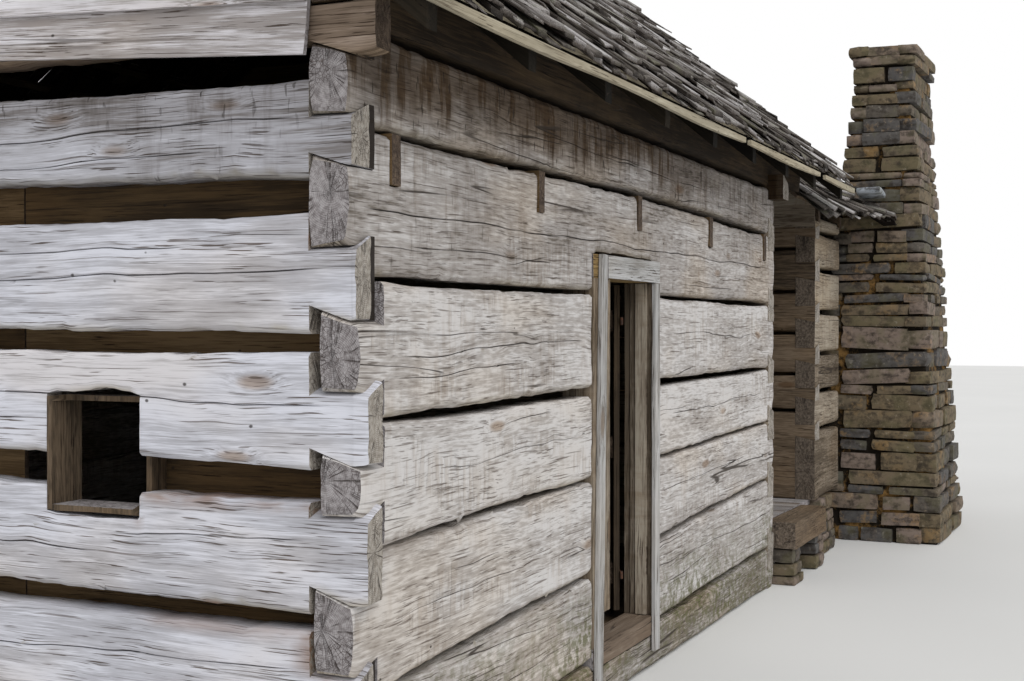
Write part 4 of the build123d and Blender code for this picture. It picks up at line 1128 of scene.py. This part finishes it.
def old_shakes(name, pale, middle, dark):
    """Split wood with strong ridges, from nearly black to silver from one shake to the next."""
    f = Finish(name)
    grain = f.attribute("grain", vector=True)
    tone = f.attribute("tone")
    bent = f.push(grain, (0, 1, 1), f.noise(f.stretch(grain, 3.0, 12.0)) * 0.02)
    ridges = f.noise(f.stretch(bent, 9.0, 260.0), detail=3.0, rough=0.6)
    patches = f.noise(grain, 7.0, detail=4.0, rough=0.6)
    split = abs(f.noise(f.stretch(bent, 3.0, 60.0), detail=2.0) - 0.5).fade(0.02, 0.004)
    share = ridges * 0.7 + patches * 0.5 + tone * 0.20
    color = f.mix(middle, pale, share.fade(0.58, 0.84))
    color = f.mix(color, dark, share.fade(0.60, 0.38))
    color = f.mix(color, (0.12, 0.125, 0.06), f.attribute("moss") * patches.fade(0.5, 0.65) * 0.6)
    # Painted shade: the underside of each shake is tinted dark brown.
    color = f.tint(color, (0.16, 0.12, 0.09), f.attribute("below"))
    color = f.mix(color, (0.03, 0.024, 0.02), split * 0.85)
    return f.finish(color, 0.84 + ridges * 0.12, ridges * 0.5 - split, 0.0025)


shake_wood = old_shakes("shake_wood", (0.54, 0.52, 0.52), (0.165, 0.145, 0.13), (0.022, 0.017, 0.013))

print("A shake is", SHAKE_LONG, "m long and shows", SHAKE_SHOW, "m")

# %% [markdown]
# The plain slab says where the shakes lie. A ray from below finds its underside at any place, and
# beyond the eave the slope is run on. The first two rows end inside the eave where a board hangs
# under it, and the others end a little unevenly.

# %% Shake roofs
class RoofBed:
    """The underside of a plain roof slab, by the distance out from the ridge."""

    def __init__(self, node, rear=False):
        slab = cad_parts[node].data
        polygons = [tuple(p.vertices) for p in slab.polygons]
        self.tree = BVHTree.FromPolygons([v.co.copy() for v in slab.vertices], polygons)
        self.low, self.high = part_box(node)
        self.side = -1 if rear else 1
        self.reach = self.high.y - RIDGE if rear else RIDGE - self.low.y

    def hit(self, x, out):
        """Place and normal of the first face above a point."""
        x = min(max(x, self.low.x + 0.01), self.high.x - 0.01)
        return self.tree.ray_cast(Vector((x, RIDGE - self.side * out, -1.0)), Vector((0, 0, 1)))

    def height(self, x, out):
        """Height of the underside, run on past the eave."""
        for back in (0.0, 0.05, 0.15, 0.30, 0.60):
            place, normal = self.hit(x, out - back)[:2]
            if place is not None and normal.z < -0.5:
                slope = normal.y / normal.z * self.side
                return place.z + slope * back
        return None

    def eave(self, x):
        """How far out the slab reaches."""
        for step in range(80):
            out = self.reach - step * 0.02
            if self.hit(x, out)[0] is not None:
                return out
        return None


def shake_points(bed, left, width, thick, butt, head, row, chance, curl, fan):
    """The upper and lower grid of one shake, or None where no slab lies under it."""
    turn = (chance[2] - 0.5) * 2 * fan
    lift_butt = {0: 0.0, 1: 0.018}.get(row, 0.028) + 0.034 * chance[3] ** 2
    bend = curl * (chance[4] - 0.35)
    slant = (chance[5] - 0.5) * (0.05 if row > 1 else 0.015)
    points = []
    for layer, i, j in itertools.product((1, 0), range(ALONG), range(ACROSS)):
        share = i / (ALONG - 1)
        across = j / (ACROSS - 1)
        out = max(butt + (head - butt) * share, 0.004)
        x = left + width * across + turn * (share - 0.3) * SHAKE_LONG
        x = min(max(x, bed.low.x), bed.high.x)
        under = bed.height(x, out)
        if under is None:
            return None
        ragged = slant * (across - 0.5) * (share < 0.01)
        lift = lift_butt * (1 - share) + bend * (1 - share) ** 2 * 1.5
        lift += (chance[6] - 0.5) * 0.02 * (across - 0.5) * (1 - share)
        lift += layer * thick * (1 - 0.55 * share) + 0.001
        y = RIDGE - bed.side * min(out + ragged, bed.reach - 0.002)
        points.append((x, y, under + max(lift, layer * 0.004)))
    return np.array(points)


def shake_roof(name, node, rear=False, curl=0.02, fan=0.05, seed=1, over_board=False):
    """A slope of shakes laid on the underside of the plain roof slab."""
    rng = np.random.default_rng(seed)
    bed = RoofBed(node, rear)
    low, high = bed.low, bed.high
    eaves = [bed.eave(low.x + k * 0.1) for k in range(int((high.x - low.x) / 0.1) + 2)]
    faces = [face[::-1] for face in SHAKE_FACES] if rear else SHAKE_FACES
    heap = Heap()
    for row in itertools.count():
        rise = max(0, row - 1) * SHAKE_SHOW * PITCH_COSINE
        if rise > ROOF_RUN:
            break
        uneven = 0.05 if row > 1 else 0.016
        held_in = 0.012 if row < 2 and over_board else 0
        long = SHAKE_LONG * PITCH_COSINE * (1.0 if row else 0.8)
        x = low.x + rng.uniform(0, 0.05)
        while x < high.x - 0.04:
            left = x
            width = rng.uniform(0.05, 0.15)
            if x + width > high.x:
                width = high.x - x
            x += width + rng.uniform(0.003, 0.018)
            chance = rng.uniform(0, 1, 8)
            eave = eaves[int((left + width / 2 - low.x) / 0.1)]
            if eave is None or width < 0.04:
                continue
            butt = eave - rise + (chance[0] - 0.5) * uneven - held_in
            if butt < 0.12:
                continue
            thick = 0.010 + 0.018 * chance[1] ** 2
            points = shake_points(bed, left, width, thick, butt, butt - long, row, chance, curl, fan)
            if points is None:
                continue
            local = np.column_stack([np.tile(np.repeat(np.linspace(0, SHAKE_LONG, ALONG), ACROSS), 2),
                                     np.tile(np.tile(np.linspace(0, width, ACROSS), ALONG), 2),
                                     np.repeat([thick, 0], ALONG * ACROSS)])
            # The lower layer of each shake is marked for the painted shade on its underside.
            heap.add(points, faces, grain=local + rng.uniform(0, 40, 3),
                     tone=np.full(len(points), chance[7] * 2 - 1), moss=np.full(len(points), chance[6]),
                     below=np.repeat([0.0, 1.0], ALONG * ACROSS))
    print(f"{name}: {len(heap.points)} shakes")
    return heap.make(name, [shake_wood], replaces=[node], smooth=50)


def eave_board(name, bed, start, stop, number):
    """A pale board that hangs under the eave between two places along the roof."""
    ring = []
    places = np.arange(start, stop, 0.12)
    for x in places:
        out = bed.eave(x) - 0.003
        top = bed.height(x, out) - 0.003
        tall = 0.030 + 0.006 * math.sin(3.1 * x + number)
        y = RIDGE - bed.side * out
        inner = y + bed.side * 0.02
        ring += [(x, y, top), (x, inner, top), (x, inner, top - tall), (x, y, top - tall)]
    faces = [[0, 1, 2, 3], [len(ring) - 1, len(ring) - 2, len(ring) - 3, len(ring) - 4]]
    for k in range(0, 4 * len(places) - 4, 4):
        for j in range(4):
            after = (j + 1) % 4
            faces.append([k + after, k + j, k + 4 + j, k + 4 + after])
    ring = np.array(ring)
    strip = Heap()
    strip.add(ring, faces, grain=ring + number * 3.3, tone=np.zeros(len(ring)))
    return strip.make(name, [lath_wood], smooth=30)


EAVE_BOARDS = ((-0.22, 3.30), (3.36, 5.10), (5.2, 6.2))
near_bed = RoofBed("near_roof_front")
for number, (start, stop) in enumerate(EAVE_BOARDS):
    eave_board(f"eave_board_{number + 1}", near_bed, start, stop, number)
shake_roof("near_front_shakes", "near_roof_front", seed=11, over_board=True)
shake_roof("near_rear_shakes", "near_roof_rear", rear=True, seed=12)
shake_roof("far_front_shakes", "far_roof_front", curl=0.04, fan=0.10, seed=13)
shake_roof("far_rear_shakes", "far_roof_rear", rear=True, seed=14)

# %% [markdown]
# ## Field stone
#
# The chimney is laid from flat stones as they came from the field, with clay between them. Each
# stone is a small block with softened corners and an uneven skin. They are laid course by course
# round a core of clay that lies a little behind their faces.

# %% Stone shape
def stone_grid(n=4):
    """Points on a cube from -1 to 1, and the faces between them."""
    index = {}
    points = []
    faces = []

    def corner(p):
        key = tuple(int(round(v * n)) for v in p)
        if key not in index:
            index[key] = len(points)
            points.append(p)
        return index[key]

    for axis in range(3):
        for sign in (-1, 1):
            for i in range(n):
                for j in range(n):
                    quad = []
                    for u, v in ((i, j), (i + 1, j), (i + 1, j + 1), (i, j + 1)):
                        p = [0.0, 0.0, 0.0]
                        p[axis] = float(sign)
                        p[(axis + 1) % 3] = 2 * u / n - 1
                        p[(axis + 2) % 3] = 2 * v / n - 1
                        quad.append(corner(tuple(p)))
                    faces.append(quad if sign > 0 else quad[::-1])
    return np.array(points), faces


STONE_POINTS, STONE_FACES = stone_grid()
LICHEN = (0.34, 0.31, 0.26)
DAMP_GREEN = (0.13, 0.12, 0.06)
STONE_DARK = (0.035, 0.028, 0.022)


def stone_skin(name, colors, ochre):
    """Field stone: a few rock colours, stained and spotted."""
    f = Finish(name)
    place = f.attribute("grain", vector=True)
    tone = f.attribute("tone")
    flat = f.node("ShaderNodeVectorMath", {"operation": "MULTIPLY"}, [place, (10.0, 10.0, 24.0)])
    layers = f.noise(flat, detail=5.0)
    spots = f.noise(place, 26.0, detail=5.0, rough=0.7)
    stain = f.noise(place, 5.0, detail=3.0)
    color = f.mix(colors[0], colors[1], tone.fade(-0.7, 0.1))
    color = f.mix(color, colors[2], tone.fade(0.35, 0.8))
    color = f.mix(color, STONE_DARK, (layers * 0.6 + spots * 0.5).fade(0.62, 0.40) * 0.85)
    color = f.mix(color, DAMP_GREEN, stain.fade(0.50, 0.38) * 0.35)
    color = f.mix(color, LICHEN, spots.fade(0.58, 0.70) * 0.45)
    color = f.mix(color, ochre, (stain * 0.6 + spots * 0.4).fade(0.53, 0.62) * f.attribute("clay"))
    height = layers * 0.5 + spots * 0.6
    return f.finish(color, 0.88, height, 0.004)


stone = stone_skin("stone", [(0.100, 0.095, 0.093), (0.165, 0.128, 0.080), (0.225, 0.175, 0.145)],
                   (0.34, 0.20, 0.07))
clay_finish = Finish("clay")
clay_place = clay_finish.node("ShaderNodeTexCoord", out=3)
clay_spots = clay_finish.noise(clay_place, 20.0, detail=5.0, rough=0.7)
clay_tint = clay_finish.noise(clay_place, 3.0, detail=3.0)
clay_share = (clay_spots * 0.4 + clay_tint * 0.8).fade(0.60, 0.74)
clay_color = clay_finish.mix((0.016, 0.012, 0.008), (0.33, 0.19, 0.065), clay_share)
clay = clay_finish.finish(clay_color, 0.95, clay_spots, 0.01)


def lay_stone(heap, rng, centre, size, turn=0.0, clay_share=0.5, tone=None):
    """One worn block. Its size is from face to face, along X, Y and Z. Its tone is drawn if none is given."""
    p = STONE_POINTS.copy()
    ball = p / np.linalg.norm(p, axis=1, keepdims=True) * 1.25
    round_off = rng.uniform(0.10, 0.28)
    p = p * (1 - round_off) + ball * round_off
    p /= np.abs(p).max()
    own = rng.uniform(0, 90, 3)
    bump = np.column_stack([noise(STONE_POINTS + own, 1.5, 21 + k) for k in range(3)])
    p = p * (1 - np.array((0.05, 0.05, 0.07)) * (1 + bump))
    p = p * np.array(size) / 2
    c, s = math.cos(turn), math.sin(turn)
    q = np.column_stack([p[:, 0] * c - p[:, 1] * s, p[:, 0] * s + p[:, 1] * c, p[:, 2]])
    q[:, 2] += (q[:, 0] + q[:, 1]) * rng.uniform(-0.045, 0.045)
    q = q + np.array(centre)
    q[:, 2] = np.maximum(q[:, 2], 0.001)
    own_tone = rng.uniform(-1, 1) if tone is None else tone
    heap.add(q, STONE_FACES, grain=p + own, tone=np.full(len(p), own_tone),
             clay=np.full(len(p), rng.uniform(0, 1) * clay_share))


print("A stone has", len(STONE_POINTS), "points and", len(STONE_FACES), "faces")

# %% [markdown]
# The courses go up with the chimney, which leans in on all sides. At each height the plain block
# is cut through with a level plane, and the cut's four corners say where the stones stand.

# %% Chimney stones
def plan_at(points, z):
    """Corners of a leaning block at a height, from its lowest and highest rings of points."""
    low = points[np.abs(points[:, 2] - points[:, 2].min()) < 1e-3]
    high = points[np.abs(points[:, 2] - points[:, 2].max()) < 1e-3]
    share = (z - points[:, 2].min()) / np.ptp(points[:, 2])
    a = np.concatenate([low[:, :2].min(axis=0), low[:, :2].max(axis=0)])
    b = np.concatenate([high[:, :2].min(axis=0), high[:, :2].max(axis=0)])
    return a * (1 - share) + b * share


def node_points(node):
    """The points of a plain node."""
    return np.array([v.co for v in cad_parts[node].data.vertices])


def lay_course(heap, rng, plan, low, high, depth, sides="FBLR", stick=0.026, lengths=(0.22, 0.85)):
    """One ring of stones. On each course, drawn at random, either the front and back or the two sides run
    through at the corners.
    """
    x_a, y_a, x_b, y_b = plan
    through = rng.uniform() < 0.5
    for side in sides:
        long_way = side in "FB"
        start, stop = (x_a, x_b) if long_way else (y_a, y_b)
        inset = 0.0 if long_way == through else depth * 0.75
        at = start + inset
        stop = stop - inset
        while at < stop - 0.02:
            length = rng.uniform(*lengths)
            if stop - at - length < 0.16:
                length = stop - at
            back = rng.uniform(0, stick) + (stick * 0.7 if rng.uniform() < 0.12 else 0)
            deep = depth * rng.uniform(0.85, 1.1)
            thin = (high - low) * rng.uniform(0.86, 1.08)
            z = low + thin * 0.48
            middle = at + length / 2
            face = {"F": y_a + back + deep / 2, "B": y_b - back - deep / 2,
                    "L": x_a + back + deep / 2, "R": x_b - back - deep / 2}[side]
            centre = (middle, face, z) if long_way else (face, middle, z)
            size = (length - 0.008, deep, thin) if long_way else (deep, length - 0.008, thin)
            lay_stone(heap, rng, centre, size, rng.uniform(-0.03, 0.03))
            at += length


def clay_core(node, inset):
    """The plain block drawn in on all sides, as the clay behind the stones."""
    heap = Heap()
    for solid in solids_of(node):
        points, faces, _ = arrays(solid)
        plans = np.array([plan_at(points, z) for z in points[:, 2]])
        placed = points.copy()
        for axis in (0, 1):
            low = plans[:, axis]
            high = plans[:, axis + 2]
            placed[:, axis] = np.where(np.abs(points[:, axis] - low) < 2e-3, low + inset, placed[:, axis])
            placed[:, axis] = np.where(np.abs(points[:, axis] - high) < 2e-3, high - inset, placed[:, axis])
        heap.add(placed, faces)
    return heap.make(f"{node}_core", [clay], replaces=[node])


def courses(rng, low, high, thin, thick):
    """Heights of the courses between two levels."""
    levels = [low]
    while levels[-1] < high - thick * 1.3:
        levels.append(levels[-1] + rng.uniform(thin, thick))
    levels.append(high)
    return list(zip(levels[:-1], levels[1:]))


rng = np.random.default_rng(21)
base_points = node_points("chimney_base")
stack_points = node_points("chimney_stack")
base_heap = Heap()
for low, high in courses(rng, 0.0, base_points[:, 2].max(), 0.06, 0.155):
    lay_course(base_heap, rng, plan_at(base_points, (low + high) / 2), low, high, 0.2, "FLR")
stack_heap = Heap()
for low, high in courses(rng, stack_points[:, 2].min(), stack_points[:, 2].max(), 0.045, 0.12):
    lay_course(stack_heap, rng, plan_at(stack_points, (low + high) / 2), low, high, 0.17)
base_heap.make("chimney_base_stones", [stone], smooth=50)
stack_heap.make("chimney_stack_stones", [stone], smooth=50)
for node in ("chimney_base", "chimney_stack"):
    clay_core(node, 0.062)

# %% [markdown]
# Wide slabs finish the top. The piers and the stones under the passage are dry stacks of the same
# stone.

# %% Cap, piers and small stacks
cap_heap = Heap()
cap_points = node_points("chimney_cap")
cap_low, cap_high = cap_points[:, 2].min(), cap_points[:, 2].max()
for low, high in courses(rng, cap_low, cap_high, 0.05, 0.075):
    lay_course(cap_heap, rng, plan_at(cap_points, (low + high) / 2), low, high, 0.17, stick=0.03,
               lengths=(0.4, 0.8))
cap_heap.make("chimney_cap_stones", [stone], replaces=["chimney_cap"], smooth=50)


def stone_stacks(name, node, seed):
    """Dry stacks with two stones to a course, side by side along the longer way."""
    heap = Heap()
    own = np.random.default_rng(seed)
    for solid in solids_of(node):
        points = arrays(solid)[0]
        low_z, high_z = points[:, 2].min(), points[:, 2].max()
        for low, high in courses(own, low_z, high_z, 0.05, 0.10):
            x_a, y_a, x_b, y_b = plan_at(points, (low + high) / 2)
            axis = 0 if x_b - x_a > y_b - y_a else 1
            cut = own.uniform(0.4, 0.6)
            for share_a, share_b in ((0, cut), (cut, 1)):
                box = [x_a, y_a, x_b, y_b]
                start, stop = box[axis], box[axis + 2]
                box[axis] = start + (stop - start) * share_a
                box[axis + 2] = start + (stop - start) * share_b
                centre = ((box[0] + box[2]) / 2, (box[1] + box[3]) / 2, (low + high) / 2)
                size = (box[2] - box[0], box[3] - box[1], high - low)
                lay_stone(heap, own, centre, size, clay_share=0.1)
    return heap.make(name, [stone], replaces=[node], smooth=50)


SLAB_AT = (7.16, -0.355, 2.735)
SLAB_SIZE = (0.42, 0.20, 0.05)
slab_heap = Heap()
lay_stone(slab_heap, np.random.default_rng(5), SLAB_AT, SLAB_SIZE, 0.05, clay_share=0.0, tone=0.0)
slate = stone_skin("slate", [(0.45, 0.49, 0.54), (0.45, 0.49, 0.54), (0.50, 0.53, 0.57)],
                   (0.26, 0.145, 0.05))
slab_heap.make("roof_joint_slab", [slate], smooth=50)
stone_stacks("pier_stones", "far_piers", 31)
stone_stacks("passage_flat_stones", "passage_stones", 32)

# %% [markdown]
# ## Iron
#
# The door hangs on two hand-forged straps, brown with rust.

# %% Rusted iron
rust = Finish("rusted_iron")
rust_place = rust.node("ShaderNodeTexCoord", out=3)
rust_spots = rust.noise(rust_place, 90.0, detail=5.0, rough=0.7)
rust_color = rust.mix((0.055, 0.04, 0.035), (0.16, 0.065, 0.03), rust_spots.fade(0.4, 0.65))
iron = rust.finish(rust_color, 0.55 + rust_spots * 0.4, rust_spots, 0.001)
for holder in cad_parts["door_hinges"].material_slots:
    holder.material = iron
print("The hinges are of", iron.name)

# %% [markdown]
# ## Floor and light
#
# A pale floor takes the shadow. An even white sky lights all sides, and one wide soft sun from
# the camera's side gives the logs their shape.

# %% Floor and light
REACH = 60
SUN_STRENGTH = 1.5
SUN_WIDE = math.radians(50)
SUN_WAY = Vector((1.0, 1.15, -1.5))
SKY_STRENGTH = 0.62
floor_mesh = bpy.data.meshes.new("floor")
floor_corners = [(-REACH, -REACH, 0), (REACH, -REACH, 0), (REACH, REACH, 0), (-REACH, REACH, 0)]
floor_mesh.from_pydata(floor_corners, [], [[0, 1, 2, 3]])
floor = bpy.data.objects.new("floor", floor_mesh)
bpy.context.collection.objects.link(floor)
floor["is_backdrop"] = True
ground = Finish("floor")
ground_place = ground.node("ShaderNodeTexCoord", out=3)
ground_color = ground.mix((0.74, 0.74, 0.73), (0.80, 0.80, 0.79), ground.noise(ground_place, 0.4))
floor_mesh.materials.append(ground.finish(ground_color, 0.9))

sun = bpy.data.lights.new("sun", "SUN")
sun.energy = SUN_STRENGTH
sun.angle = SUN_WIDE
sun_lamp = bpy.data.objects.new("sun", sun)
bpy.context.collection.objects.link(sun_lamp)
sun_lamp.rotation_euler = SUN_WAY.to_track_quat("-Z", "Y").to_euler()

sky = bpy.data.worlds.new("sky")
bpy.context.scene.world = sky
sky.use_nodes = True
sky_tree = sky.node_tree
light = sky_tree.nodes["Background"]
light.inputs["Color"].default_value = (1, 1, 1, 1)
light.inputs["Strength"].default_value = SKY_STRENGTH
shown = sky_tree.nodes.new("ShaderNodeBackground")
shown.inputs["Color"].default_value = (1, 1, 1, 1)
shown.inputs["Strength"].default_value = 1.0
path = sky_tree.nodes.new("ShaderNodeLightPath")
either = sky_tree.nodes.new("ShaderNodeMath")
either.operation = "MAXIMUM"
sky_tree.links.new(path.outputs["Is Camera Ray"], either.inputs[0])
sky_tree.links.new(path.outputs["Is Glossy Ray"], either.inputs[1])
blend = sky_tree.nodes.new("ShaderNodeMixShader")
sky_tree.links.new(either.outputs[0], blend.inputs[0])
sky_tree.links.new(light.outputs[0], blend.inputs[1])
sky_tree.links.new(shown.outputs[0], blend.inputs[2])
sky_tree.links.new(blend.outputs[0], sky_tree.nodes["World Output"].inputs["Surface"])
print("Sun", SUN_STRENGTH, "and sky", SKY_STRENGTH)

# %% [markdown]
# ## Finish
#
# The size of the dressed cabin is written beside the plain one, so that the two can be compared.

# %% Sizes
dressed_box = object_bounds()
for label, box in (("Plain", plain_box), ("Dressed", dressed_box)):
    print(f"{label} model from", [round(v, 3) for v in box[0]], "to", [round(v, 3) for v in box[1]])
